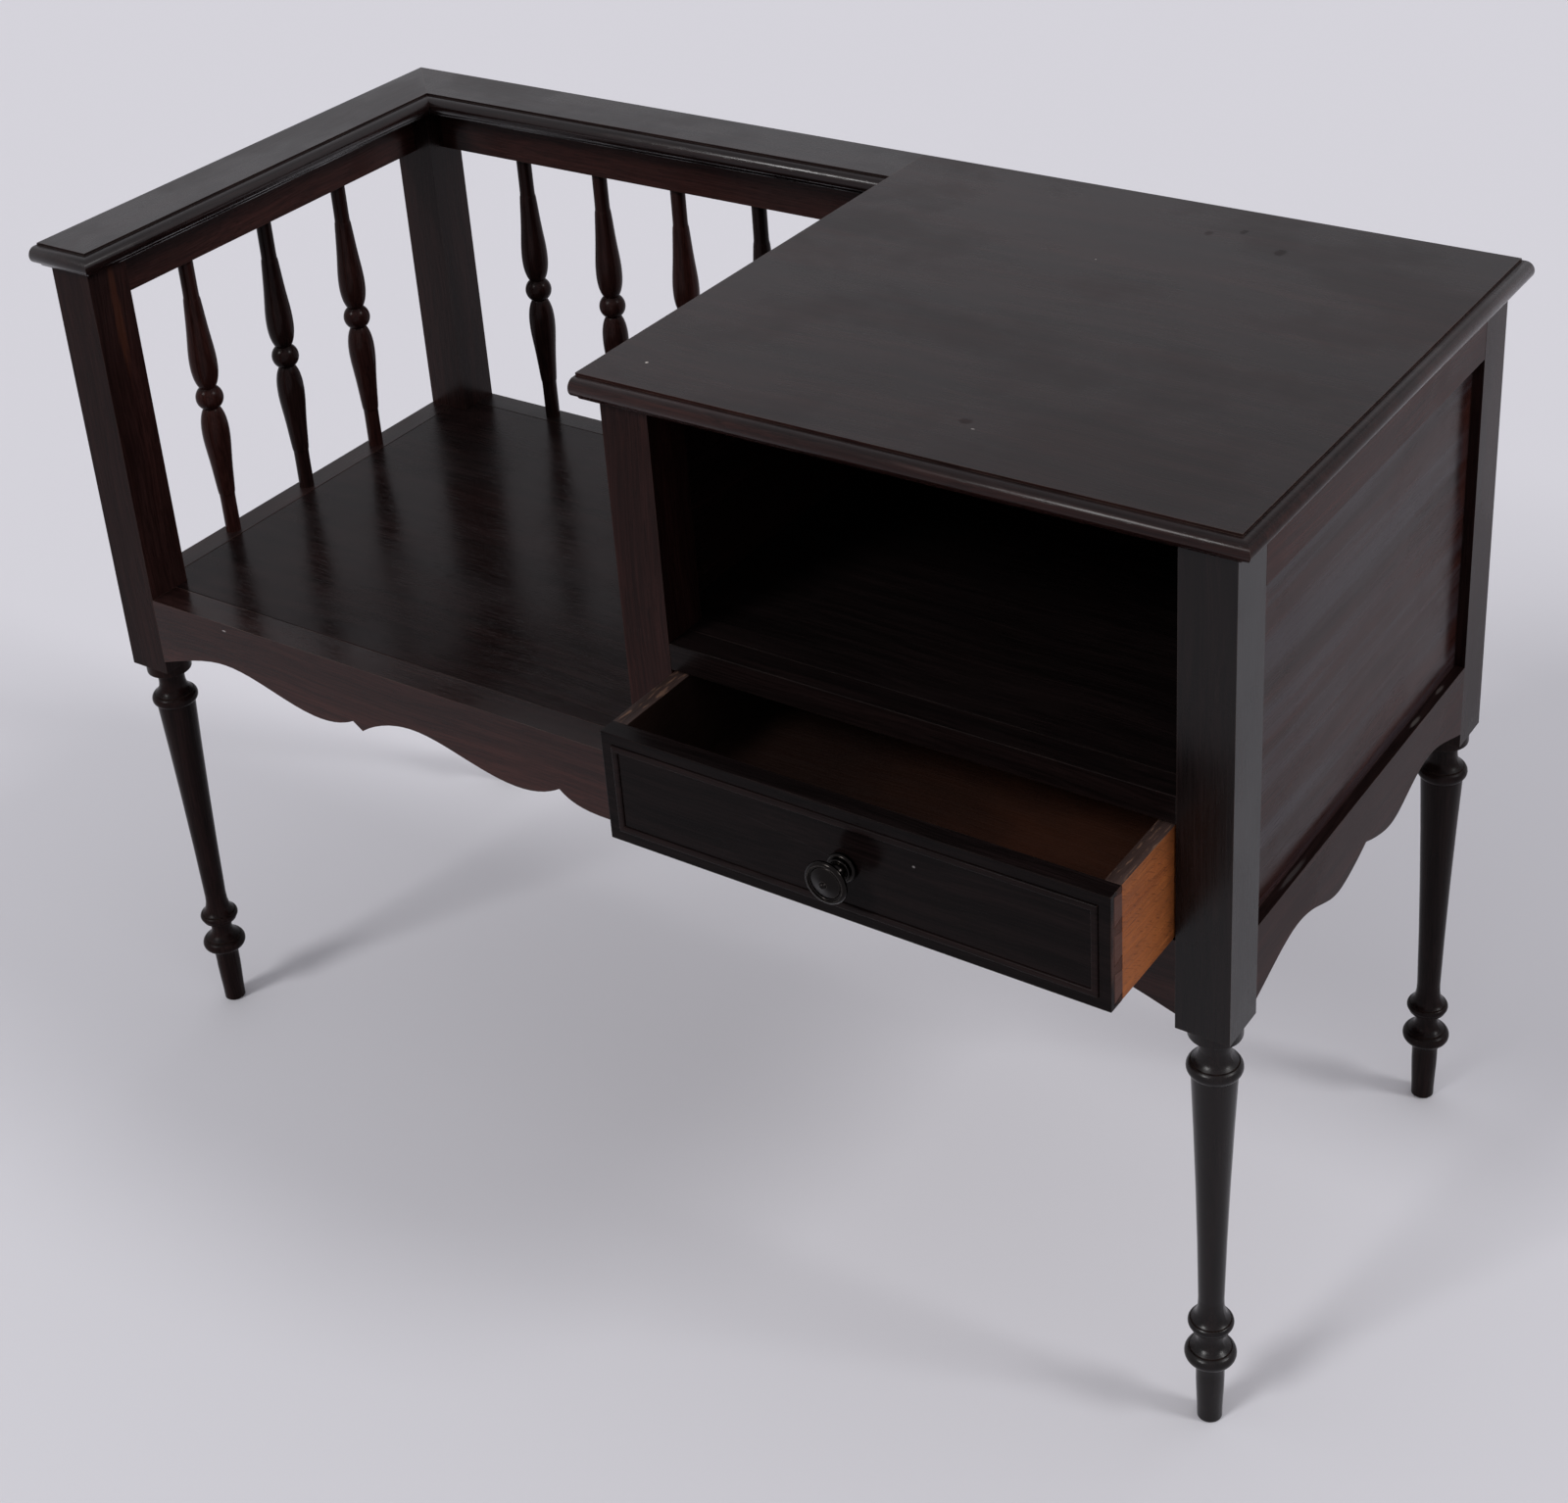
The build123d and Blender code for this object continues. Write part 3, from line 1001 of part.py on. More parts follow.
BEAD_OUTER = (length(DRAWER_X) - 2 * BEAD_INSET, length(DRAWER_Z) - 2 * BEAD_INSET)
BEAD_INNER = (BEAD_OUTER[0] - 2 * BEAD_WIDTH, BEAD_OUTER[1] - 2 * BEAD_WIDTH)
DRAWER_CENTRE = (middle(DRAWER_X), middle(DRAWER_Z))
BEAD_SEAT_Y = DRAWER_FACE + BEAD_SEAT
KNOB_CENTRE = (DRAWER_CENTRE[0], DRAWER_FACE, DRAWER_CENTRE[1])
KNOB_AXIS = Axis(KNOB_CENTRE, (0, -1, 0))

with BuildPart() as drawer_front:
    block(DRAWER_X, DRAWER_FRONT_Y, DRAWER_Z)
    for side_x in (LEFT_SIDE_X, RIGHT_SIDE_X):
        sockets = tails(FRONT_TAIL_Y[1], FRONT_TAIL_Y[0], DRAWER_Z, side_x)
        extrude(sockets, amount=DRAWER_SIDE_THICKNESS, mode=Mode.SUBTRACT)
    bottom_groove()
    with BuildSketch(Plane.XZ.offset(-BEAD_SEAT_Y)):
        with Locations(DRAWER_CENTRE):
            Rectangle(*BEAD_OUTER)
            Rectangle(*BEAD_INNER, mode=Mode.SUBTRACT)
    extrude(amount=BEAD_SEAT, mode=Mode.SUBTRACT)
    with Locations(Plane(origin=KNOB_CENTRE, z_dir=(0, -1, 0))):
        Hole(KNOB_SCREW_RADIUS + JOINT_FIT, DRAWER_FRONT_THICKNESS)
save(drawer_front.part, "drawer_front")

with BuildPart() as drawer_bead:
    with BuildSketch(Plane.XZ.offset(-BEAD_SEAT_Y)):
        with Locations(DRAWER_CENTRE):
            Rectangle(*BEAD_OUTER)
            Rectangle(*BEAD_INNER, mode=Mode.SUBTRACT)
    extrude(amount=BEAD_SEAT + BEAD_PROUD)
    fillet(drawer_bead.faces().sort_by(Axis.Y)[0].edges(), BEAD_PROUD * 0.9)
save(drawer_bead.part, "drawer_bead")

with BuildPart() as drawer_left_side:
    drawer_side(LEFT_SIDE_X)
save(drawer_left_side.part, "drawer_left_side")

with BuildPart() as drawer_right_side:
    drawer_side(RIGHT_SIDE_X)
save(drawer_right_side.part, "drawer_right_side")

with BuildPart() as drawer_back:
    block(DRAWER_X, DRAWER_BACK_Y, DRAWER_BACK_Z)
    for side_x in (LEFT_SIDE_X, RIGHT_SIDE_X):
        sockets = tails(DRAWER_BACK_Y[0], DRAWER_BACK_Y[1], DRAWER_BACK_Z, side_x)
        extrude(sockets, amount=DRAWER_SIDE_THICKNESS, mode=Mode.SUBTRACT)
    screw_holes(BOTTOM_SCREWS, *BOTTOM_SCREW)
save(drawer_back.part, "drawer_back")

with BuildPart() as drawer_bottom:
    bottom_groove(Mode.ADD, PANEL_GAP / 2)
    screw_holes(BOTTOM_SCREWS, *BOTTOM_SCREW)
save(drawer_bottom.part, "drawer_bottom")

with BuildPart() as drawer_bottom_screws:
    screw(BOTTOM_SCREWS, *BOTTOM_SCREW)
save(drawer_bottom_screws.part, "drawer_bottom_screws")

# ------------------------------------------------------------------ knob
with BuildPart() as drawer_knob:
    with BuildSketch(Plane(origin=KNOB_CENTRE, x_dir=(0, -1, 0), z_dir=(1, 0, 0))):
        with BuildLine():
            collar_middle = KNOB_COLLAR_REACH / 2
            ring_edge = KNOB_RING_RADIUS - 0.4 * KNOB_RING_WIDTH
            ring_top = (KNOB_COLLAR_REACH + KNOB_RING_WIDTH / 2, KNOB_RING_RADIUS)
            neck_start = KNOB_COLLAR_REACH + KNOB_RING_WIDTH
            face_reach = KNOB_RIM_REACH + KNOB_RIM_WIDTH
            rim_back = (KNOB_RIM_REACH, KNOB_RADIUS)
            rim_front = (face_reach, KNOB_RIM_INNER_RADIUS)
            groove = (face_reach - KNOB_GROOVE_SINK, (KNOB_RIM_INNER_RADIUS + KNOB_DISH_RADIUS) / 2)
            dish = (face_reach - KNOB_DISH_SINK, KNOB_DISH_RADIUS)
            boss = (KNOB_REACH - KNOB_BOSS_RADIUS, KNOB_BOSS_RADIUS)
            boss_round = KNOB_BOSS_RADIUS * HALF_ROOT
            Line((0, 0), (0, KNOB_BASE_RADIUS))
            ThreePointArc(
                (0, KNOB_BASE_RADIUS),
                (collar_middle, KNOB_COLLAR_RADIUS),
                (KNOB_COLLAR_REACH, KNOB_BASE_RADIUS),
            )
            Line((KNOB_COLLAR_REACH, KNOB_BASE_RADIUS), (KNOB_COLLAR_REACH, ring_edge))
            ThreePointArc((KNOB_COLLAR_REACH, ring_edge), ring_top, (neck_start, ring_edge))
            Line((neck_start, ring_edge), (neck_start, KNOB_NECK_RADIUS + TURNED_STEP))
            Spline(
                (neck_start, KNOB_NECK_RADIUS + TURNED_STEP),
                (KNOB_NECK_REACH, KNOB_NECK_RADIUS),
                rim_back,
                tangents=((1, 0), (0, 1)),
            )
            ThreePointArc(
                rim_back,
                ((KNOB_RIM_REACH + face_reach) / 2, KNOB_RADIUS + TURNED_STEP / 4),
                rim_front,
            )
            ThreePointArc(rim_front, groove, dish)
            Line(dish, boss)
            ThreePointArc(boss, (boss[0] + boss_round, boss_round), (KNOB_REACH, 0))
            Line((KNOB_REACH, 0), (0, 0))
        make_face()
    revolve(axis=KNOB_AXIS)
    with Locations(Plane(origin=KNOB_CENTRE, z_dir=(0, 1, 0))):
        Hole(KNOB_SCREW_RADIUS + JOINT_FIT, KNOB_SCREW_GRIP + JOINT_DEPTH_FIT)
save(drawer_knob.part, "drawer_knob")

with BuildPart() as knob_screw:
    head_plane = Plane(origin=(KNOB_CENTRE[0], DRAWER_FRONT_Y[1], KNOB_CENTRE[2]), z_dir=(0, 1, 0))
    with Locations(head_plane):
        Cylinder(
            KNOB_SCREW_RADIUS,
            DRAWER_FRONT_THICKNESS + KNOB_SCREW_GRIP,
            align=(Align.CENTER, Align.CENTER, Align.MAX),
        )
        Cylinder(KNOB_HEAD_RADIUS, KNOB_HEAD_HEIGHT, align=(Align.CENTER, Align.CENTER, Align.MIN))
    fillet(knob_screw.faces().sort_by(Axis.Y)[-1].edges(), KNOB_HEAD_HEIGHT / 2)
    with Locations((KNOB_CENTRE[0], DRAWER_FRONT_Y[1] + KNOB_HEAD_HEIGHT, KNOB_CENTRE[2])):
        Box(3 * KNOB_HEAD_RADIUS, 2 * SCREW_SLOT_DEPTH, SCREW_SLOT_WIDTH, mode=Mode.SUBTRACT)
save(knob_screw.part, "knob_screw")
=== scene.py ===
import math

import bpy
from mathutils import Matrix, Vector


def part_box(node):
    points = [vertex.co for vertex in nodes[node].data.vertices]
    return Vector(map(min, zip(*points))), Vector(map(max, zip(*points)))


# The finish, the studio and the camera for the telephone bench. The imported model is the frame:
# metres, +X along the bench to the cabinet, +Y to the back, +Z up, floor at Z = 0.
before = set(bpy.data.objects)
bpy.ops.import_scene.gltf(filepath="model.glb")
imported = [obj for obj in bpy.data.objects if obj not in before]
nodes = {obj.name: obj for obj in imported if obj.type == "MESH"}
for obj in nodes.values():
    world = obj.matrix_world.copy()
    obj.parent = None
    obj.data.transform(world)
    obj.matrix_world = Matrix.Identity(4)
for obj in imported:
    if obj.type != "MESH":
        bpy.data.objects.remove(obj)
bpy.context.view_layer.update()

# ------------------------------------------------------------------ places read from the frame
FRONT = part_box("front_apron")[0].y  # the aprons' and posts' front face
DRAWER_LOW, DRAWER_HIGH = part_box("drawer_front")
TABLE_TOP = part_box("cabinet_top")[1].z

# ------------------------------------------------------------------ colours
# a pair holds the two colours that the wood's figure runs between
STAIN_DARK = ((0.0046, 0.0032, 0.0032, 1), (0.0085, 0.0054, 0.0054, 1))
STAIN_RUDDY = ((0.0440, 0.0140, 0.0115, 1), (0.0620, 0.0196, 0.0156, 1))
STAINED_PORE = (0.0025, 0.0018, 0.0016, 1)
BLOOM = (0.046, 0.038, 0.044, 1)  # dull haze on the polish
RUBBED_EDGE = (0.085, 0.056, 0.045, 1)
BARE_DIRT = (0.03, 0.012, 0.006, 1)
BARE_PORE = (0.05, 0.018, 0.008, 1)
INNER_PALE = (0.20, 0.095, 0.045, 1)  # the unstained wood under the seat and in the cabinet
INNER_DEEP = (0.10, 0.042, 0.020, 1)
DRAWER_PALE = (0.450, 0.134, 0.026, 1)  # the drawer's outer faces
DRAWER_DEEP = (0.270, 0.068, 0.012, 1)
DRAWER_FADED = (0.250, 0.096, 0.052, 1)
DRAWER_TICK = (0.085, 0.026, 0.010, 1)
# the drawer's inside wood, darker than its outside partly by painted shade
DRAWER_INSIDE_SHADED = ((0.024, 0.0092, 0.0056, 1), (0.045, 0.0155, 0.0085, 1))
# painted shadow: the dark colour the drawer's inside takes towards its left end, where no lamp reaches
DRAWER_INSIDE_SHADOW = (0.012, 0.0055, 0.0040, 1)
DRAWER_EDGE = ((0.020, 0.0105, 0.0085, 1), (0.050, 0.030, 0.026, 1))
DRAWER_EDGE_FLECK = (0.20, 0.11, 0.07, 1)
STAINED_END = (0.085, 0.036, 0.026, 1)  # stain that ran onto the drawer's orange sides
KNOB_METAL = (0.013, 0.0114, 0.0108, 1)
KNOB_RUBBED = (0.16, 0.14, 0.12, 1)
SCREW_METAL = (0.16, 0.15, 0.14, 1)
SCREW_RUBBED = (0.42, 0.40, 0.38, 1)

# ------------------------------------------------------------------ wear and polish
LEAST_RED = 0.6  # share of a piece's red that is left in the darkest bands of its figure
UPWARD_RED = 0.3  # share of the red that still shows on faces that look up
LEG_RED = 0.4  # the same on a post's turned leg
LEG_BLEND = (0.30, 0.40)  # heights between which the leg gives way to the square post
RAGGED = 0.8  # how far the outline of a spot wanders, as a share of its size
EDGE_RADIUS = 0.0011  # width of the wear along an edge of wood
METAL_EDGE_RADIUS = 0.0008
USUAL_SPECULAR = 0.5
STAIN_DULLED = 0.45  # share of the polish's mirroring that a dull stain leaves
BARE_SHINE = 1.3  # index of refraction of the wood without polish
INNER_DULLNESS = 0.65  # lowest roughness of the wood under the seat and in the cabinet
DRAWER_DULLNESS = 0.5
KNOB_ROUGHNESS = 0.20
SCREW_ROUGHNESS = 0.4
FADED_SHARE = 0.35  # how faded the drawer's sides are at its front
FADED_DEPTH = 0.13  # how far behind the front that ends
PAINTED_SHADOW_SPAN = (0.10, 0.24)  # from the drawer's left end: the painted shadow inside it fades out between these
FRONT_END_DEPTH = (0.0155, 0.0145)  # from the drawer's face, where its stained ends stop
EDGE_ROUNDING = 0.0006
SEAT_ROUNDING = 0.001
PLANK_STEP = (1.37, 0.73, 0.41)  # how far each piece is cut in the plank from the one before
PLANK_SIZE = (5.0, 3.0, 2.0)

# ------------------------------------------------------------------ camera
CAMERA_PLACE = (1.0629, -1.3887, 1.4702)
CAMERA_FORWARD = (-0.5106, 0.7238, -0.4642)
CAMERA_RIGHT = (0.8330, 0.5502, -0.0585)
CAMERA_LENS = 60.66
SENSOR_WIDTH = 36.0
CAMERA_SHIFT = (-0.0194, -0.1669)


def make_camera():
    """The photograph's view: from the cabinet's front corner, well above the seat."""
    data = bpy.data.cameras.new("camera")
    camera = bpy.data.objects.new("camera", data)
    bpy.context.scene.collection.objects.link(camera)
    forward = Vector(CAMERA_FORWARD).normalized()
    right = Vector(CAMERA_RIGHT).normalized()
    up = right.cross(forward)
    turn = Matrix((right, up, -forward)).transposed()
    camera.matrix_world = Matrix.Translation(CAMERA_PLACE) @ turn.to_4x4()
    data.sensor_fit = "HORIZONTAL"
    data.sensor_width = SENSOR_WIDTH
    data.lens = CAMERA_LENS
    data.shift_x = CAMERA_SHIFT[0]
    data.shift_y = CAMERA_SHIFT[1]
    bpy.context.scene.camera = camera


# ------------------------------------------------------------------ node helpers
def add(tree, kind, values=None, **settings):
    """Adds a node, sets its properties, and fills or links its inputs by name or number."""
    node = tree.nodes.new(kind)
    for name, value in settings.items():
        setattr(node, name, value)
    for key, value in (values or {}).items():
        socket = node.inputs[key]
        if isinstance(value, bpy.types.NodeSocket):
            tree.links.new(value, socket)
        else:
            socket.default_value = value
    return node


def math_node(tree, operation, a, b, clamp=False):
    node = add(tree, "ShaderNodeMath", {0: a, 1: b}, operation=operation, use_clamp=clamp)
    return node.outputs[0]


def remap(tree, value, low, high, to_low=0.0, to_high=1.0):
    """Maps low..high smoothly onto to_low..to_high, held at the ends."""
    node = add(
        tree,
        "ShaderNodeMapRange",
        {"Value": value, "From Min": low, "From Max": high, "To Min": to_low, "To Max": to_high},
        interpolation_type="SMOOTHSTEP",
    )
    return node.outputs["Result"]


def blend_colours(tree, factor, a, b, kind="MIX"):
    node = add(tree, "ShaderNodeMix", data_type="RGBA", blend_type=kind, clamp_factor=True)
    for socket, value in ((node.inputs[0], factor), (node.inputs[6], a), (node.inputs[7], b)):
        if isinstance(value, bpy.types.NodeSocket):
            tree.links.new(value, socket)
        else:
            socket.default_value = value
    return node.outputs[2]


def new_material(name):
    """A fresh material, its node tree and its shader."""
    material = bpy.data.materials.new(name)
    material.use_nodes = True
    tree = material.node_tree
    return material, tree, tree.nodes["Principled BSDF"]


def emboss(tree, shader, height, strength, depth):
    """Presses a height into the shader's normal; depth is in metres."""
    bump = add(tree, "ShaderNodeBump", {"Strength": strength, "Distance": depth, "Height": height})
    tree.links.new(bump.outputs[0], shader.inputs["Normal"])


def noise(tree, vector, scale, detail, roughness=0.55):
    """Noise stretched by a scale of its own on each axis."""
    stretched = add(tree, "ShaderNodeVectorMath", {0: vector, 1: scale}, operation="MULTIPLY")
    node = add(
        tree,
        "ShaderNodeTexNoise",
        {"Vector": stretched.outputs[0], "Scale": 1.0, "Detail": detail, "Roughness": roughness},
    )
    return node.outputs["Fac"]


def parts_of(tree, vector):
    """The X, Y and Z sockets of a vector."""
    return add(tree, "ShaderNodeSeparateXYZ", {0: vector}).outputs


def blot(tree, where, centre, size):
    """1 inside a spot with ragged edges, 0 outside; size is its half length on each axis."""
    inverse = tuple(1 / value for value in size)
    offset = add(tree, "ShaderNodeVectorMath", {0: where, 1: centre}, operation="SUBTRACT")
    scaled = add(tree, "ShaderNodeVectorMath", {0: offset.outputs[0], 1: inverse}, operation="MULTIPLY")
    reach = add(tree, "ShaderNodeVectorMath", {0: scaled.outputs[0]}, operation="LENGTH")
    speckle = noise(tree, scaled.outputs[0], (3.1, 3.1, 3.1), 4.0, 0.7)
    speckle = math_node(tree, "MULTIPLY", speckle, RAGGED)
    distance = math_node(tree, "ADD", reach.outputs["Value"], speckle)
    return remap(tree, distance, 0.75 + RAGGED / 2, 0.35 + RAGGED / 2)


# ------------------------------------------------------------------ wood
GRAIN_TURN = {  # turns the piece's own axis of grain onto X
    "X": (0.0, 0.0, 0.0),
    "Y": (0.0, 0.0, -math.pi / 2),
    "Z": (0.0, math.pi / 2, 0.0),
}
FIGURE_OUTPUTS = ("Broad", "Streaks", "Fibres", "Pores", "Cloud")


def wood_figure():
    """Node group: the figure of the wood, for a point with the grain along X, in metres."""
    tree = bpy.data.node_groups.new("wood_figure", "ShaderNodeTree")
    tree.interface.new_socket("Vector", in_out="INPUT", socket_type="NodeSocketVector")
    for name in FIGURE_OUTPUTS:
        tree.interface.new_socket(name, in_out="OUTPUT", socket_type="NodeSocketFloat")
    start = tree.nodes.new("NodeGroupInput")
    end = tree.nodes.new("NodeGroupOutput")
    point = start.outputs[0]
    drift = add(tree, "ShaderNodeTexNoise", {"Vector": point, "Scale": 5.0, "Detail": 1.0})
    sway = add(
        tree,
        "ShaderNodeVectorMath",
        {0: drift.outputs["Color"], 1: (0.0, 0.022, 0.022)},
        operation="MULTIPLY",
    )
    bent = add(tree, "ShaderNodeVectorMath", {0: point, 1: sway.outputs[0]}).outputs[0]
    broad = noise(tree, bent, (1.6, 20.0, 20.0), 3.0)
    streaks = noise(tree, bent, (3.5, 95.0, 95.0), 3.0, 0.6)
    fibres = noise(tree, bent, (11.0, 620.0, 620.0), 2.0, 0.7)
    dashes = noise(tree, bent, (75.0, 1500.0, 1500.0), 1.0)
    cloud = noise(tree, point, (7.0, 9.0, 9.0), 4.0, 0.6)
    for name, value in zip(
        FIGURE_OUTPUTS,
        (
            remap(tree, broad, 0.36, 0.66),
            remap(tree, streaks, 0.34, 0.68),
            remap(tree, fibres, 0.3, 0.7),
            remap(tree, dashes, 0.6, 0.74),
            remap(tree, cloud, 0.36, 0.66),
        ),
    ):
        tree.links.new(value, end.inputs[name])
    return tree


def grained(tree, grain, place):
    """The wood figure's node for one piece, cut from its own place in the plank."""
    where = add(tree, "ShaderNodeTexCoord").outputs["Object"]
    turned = add(
        tree,
        "ShaderNodeMapping",
        {"Vector": where, "Location": place, "Rotation": GRAIN_TURN[grain]},
    )
    figure = add(tree, "ShaderNodeGroup", node_tree=FIGURE)
    tree.links.new(turned.outputs[0], figure.inputs[0])
    return figure.outputs, turned.outputs[0]


def worn_edges(tree, radius):
    """1 along the piece's convex edges, 0 on its faces."""
    geometry = add(tree, "ShaderNodeNewGeometry")
    rounded = add(tree, "ShaderNodeBevel", {"Radius": radius}, samples=4)
    alike = add(
        tree,
        "ShaderNodeVectorMath",
        {0: geometry.outputs["Normal"], 1: rounded.outputs[0]},
        operation="DOT_PRODUCT",
    )
    return remap(tree, alike.outputs["Value"], 0.985, 0.8)


def upward(tree):
    """1 on faces that look up, 0 on the others."""
    normal = add(tree, "ShaderNodeNewGeometry").outputs["True Normal"]
    return remap(tree, parts_of(tree, normal)["Z"], 0.5, 0.9)


def stained_wood(name, grain, place, red, gloss, wear, haze=0.0, shine=1.26):
    """Old, nearly black mahogany stain under a rubbed polish.

    red is how much of the red wood shows through, gloss how well it is polished, wear how pale
    its edges have been rubbed, haze how much dull bloom lies on the polish, and shine the
    polish's index of refraction."""
    material, tree, shader = new_material(name)
    where = add(tree, "ShaderNodeTexCoord").outputs["Object"]
    figure, point = grained(tree, grain, place)
    dark = blend_colours(tree, figure["Streaks"], *STAIN_DARK)
    ruddy = blend_colours(tree, figure["Streaks"], *STAIN_RUDDY)
    share = remap(tree, figure["Broad"], 0.0, 1.0, LEAST_RED * red, red)
    top = upward(tree)
    share = math_node(tree, "MULTIPLY", share, remap(tree, top, 0.0, 1.0, 1.0, UPWARD_RED), clamp=True)
    shader.inputs["IOR"].default_value = shine
    if name.endswith("_post"):  # its turned leg is darker
        rise = parts_of(tree, where)["Z"]
        share = math_node(tree, "MULTIPLY", share, remap(tree, rise, *LEG_BLEND, LEG_RED, 1.0))
    wood = blend_colours(tree, share, dark, ruddy)
    shade = remap(tree, figure["Fibres"], 0.0, 1.0, 0.72, 1.2)
    wood = blend_colours(tree, 1.0, wood, shade, "MULTIPLY")
    wood = blend_colours(tree, math_node(tree, "MULTIPLY", figure["Pores"], 0.6), wood, STAINED_PORE)
    if haze:
        bloom = noise(tree, point, (1.8, 42.0, 42.0), 5.0, 0.7)
        wood = blend_colours(tree, remap(tree, bloom, 0.40, 0.62, 0.0, haze), wood, BLOOM)
    patchy = noise(tree, point, (30.0, 300.0, 300.0), 3.0)
    rubbed = math_node(tree, "MULTIPLY", worn_edges(tree, EDGE_RADIUS), patchy)
    rubbed = remap(tree, rubbed, 0.25, 0.60, 0.0, wear)
    wood = blend_colours(tree, rubbed, wood, RUBBED_EDGE)
    for centre, size, colour, strength in MARKS.get(name, ()):
        mark = math_node(tree, "MULTIPLY", blot(tree, where, centre, size), strength)
        wood = blend_colours(tree, mark, wood, colour)
    tree.links.new(wood, shader.inputs["Base Color"])
    rough = remap(tree, figure["Cloud"], 0.0, 1.0, 0.36 - 0.22 * gloss, 0.50 - 0.25 * gloss)
    rough = math_node(tree, "ADD", rough, math_node(tree, "MULTIPLY", figure["Fibres"], 0.05))
    rough = math_node(tree, "MULTIPLY", rough, remap(tree, top, 0.0, 1.0, 0.72, 1.0))
    tree.links.new(rough, shader.inputs["Roughness"])
    if name in STAINS:
        level = USUAL_SPECULAR
        for centre, size in STAINS[name]:
            dull = remap(tree, blot(tree, where, centre, size), 0.0, 1.0, 1.0, STAIN_DULLED)
            level = math_node(tree, "MULTIPLY", level, dull)
        tree.links.new(level, shader.inputs["Specular IOR Level"])
    ridges = math_node(tree, "MULTIPLY", figure["Fibres"], 0.35)
    height = math_node(tree, "SUBTRACT", ridges, figure["Pores"])
    emboss(tree, shader, height, 0.2, 0.00015)
    return material


def plain_wood(name, grain, place, pale, deep, dullness):
    """Unstained wood, as under the seat: pale and deep are its colours between and in the streaks."""
    material, tree, shader = new_material(name)
    figure = grained(tree, grain, place)[0]
    wood = bare_colour(tree, figure, pale, deep)
    tree.links.new(wood, shader.inputs["Base Color"])
    finish_bare(tree, shader, figure, dullness)
    return material


def bare_colour(tree, figure, pale, deep):
    """Colour of wood without stain: streaks, fibres, old dirt and dark pores."""
    tone = math_node(tree, "MULTIPLY", figure["Streaks"], 0.55)
    tone = math_node(tree, "ADD", tone, math_node(tree, "MULTIPLY", figure["Broad"], 0.45))
    wood = blend_colours(tree, tone, deep, pale)
    shade = remap(tree, figure["Fibres"], 0.0, 1.0, 0.8, 1.14)
    wood = blend_colours(tree, 1.0, wood, shade, "MULTIPLY")
    dirt = remap(tree, figure["Cloud"], 0.25, 1.0, 0.35, 0.0)
    wood = blend_colours(tree, dirt, wood, BARE_DIRT)
    return blend_colours(tree, math_node(tree, "MULTIPLY", figure["Pores"], 0.5), wood, BARE_PORE)


def finish_bare(tree, shader, figure, dullness):
    rough = remap(tree, figure["Fibres"], 0.0, 1.0, dullness, dullness + 0.15)
    tree.links.new(rough, shader.inputs["Roughness"])
    shader.inputs["IOR"].default_value = BARE_SHINE
    height = math_node(tree, "SUBTRACT", figure["Fibres"], figure["Pores"])
    emboss(tree, shader, height, 0.4, 0.0002)


def drawer_wood(name, grain, place):
    """The drawer's wood: orange outside, dark inside (partly painted shade, with a painted shadow at
    its left end), stained on its upper edges and front ends.
    """
    material, tree, shader = new_material(name)
    figure = grained(tree, grain, place)[0]
    where = add(tree, "ShaderNodeTexCoord").outputs["Object"]
    spot = parts_of(tree, where)
    outside = bare_colour(tree, figure, DRAWER_PALE, DRAWER_DEEP)
    backward = remap(tree, spot["Y"], DRAWER_HIGH.y, DRAWER_HIGH.y + FADED_DEPTH, FADED_SHARE, 0.0)
    outside = blend_colours(tree, backward, outside, DRAWER_FADED)
    ticks = add(tree, "ShaderNodeMapping", {"Vector": where, "Rotation": (0.62, 0.0, 0.0)}).outputs[0]
    ticks = noise(tree, ticks, (300.0, 90.0, 900.0), 1.5, 0.5)
    outside = blend_colours(tree, remap(tree, ticks, 0.57, 0.72, 0.0, 0.5), outside, DRAWER_TICK)
    # the inside's colour, darkened partly by painted shade
    inside = blend_colours(tree, figure["Cloud"], *DRAWER_INSIDE_SHADED)
    # painted shadow over the left end of the drawer's inside, fading out to the right
    painted_shadow = remap(tree, spot["X"], *(DRAWER_LOW.x + width for width in PAINTED_SHADOW_SPAN), 0.92, 0.0)
    inside = blend_colours(tree, painted_shadow, inside, DRAWER_INSIDE_SHADOW)
    facing = parts_of(tree, add(tree, "ShaderNodeNewGeometry").outputs["True Normal"])
    axis, low, high = OUTER_FACE[name]
    wood = blend_colours(tree, remap(tree, facing[axis], low, high), inside, outside)
    stain = blend_colours(tree, figure["Streaks"], *DRAWER_EDGE)
    fleck = noise(tree, where, (420.0, 60.0, 420.0), 2.0, 0.6)
    stain = blend_colours(tree, remap(tree, fleck, 0.56, 0.68, 0.0, 0.5), stain, DRAWER_EDGE_FLECK)
    front = remap(tree, spot["Y"], *(DRAWER_LOW.y + depth for depth in FRONT_END_DEPTH))
    wood = blend_colours(tree, front, wood, STAINED_END)
    if name != "drawer_bottom":
        wood = blend_colours(tree, upward(tree), wood, stain)
    tree.links.new(wood, shader.inputs["Base Color"])
    finish_bare(tree, shader, figure, DRAWER_DULLNESS)
    return material


# ------------------------------------------------------------------ metal
def dark_metal(name, colour, bright, rough):
    """Metal gone dark, with brighter metal where hands have rubbed it."""
    material, tree, shader = new_material(name)
    where = add(tree, "ShaderNodeTexCoord").outputs["Object"]
    spots = noise(tree, where, (260.0, 260.0, 260.0), 4.0, 0.6)
    rubbed = worn_edges(tree, METAL_EDGE_RADIUS)
    share = math_node(tree, "MULTIPLY", rubbed, remap(tree, spots, 0.35, 0.65, 0.3, 0.9))
    tree.links.new(blend_colours(tree, share, colour, bright), shader.inputs["Base Color"])
    tree.links.new(remap(tree, spots, 0.3, 0.7, rough - 0.07, rough + 0.1), shader.inputs["Roughness"])
    shader.inputs["Metallic"].default_value = 1.0
    emboss(tree, shader, spots, 0.15, 0.0001)
    return material


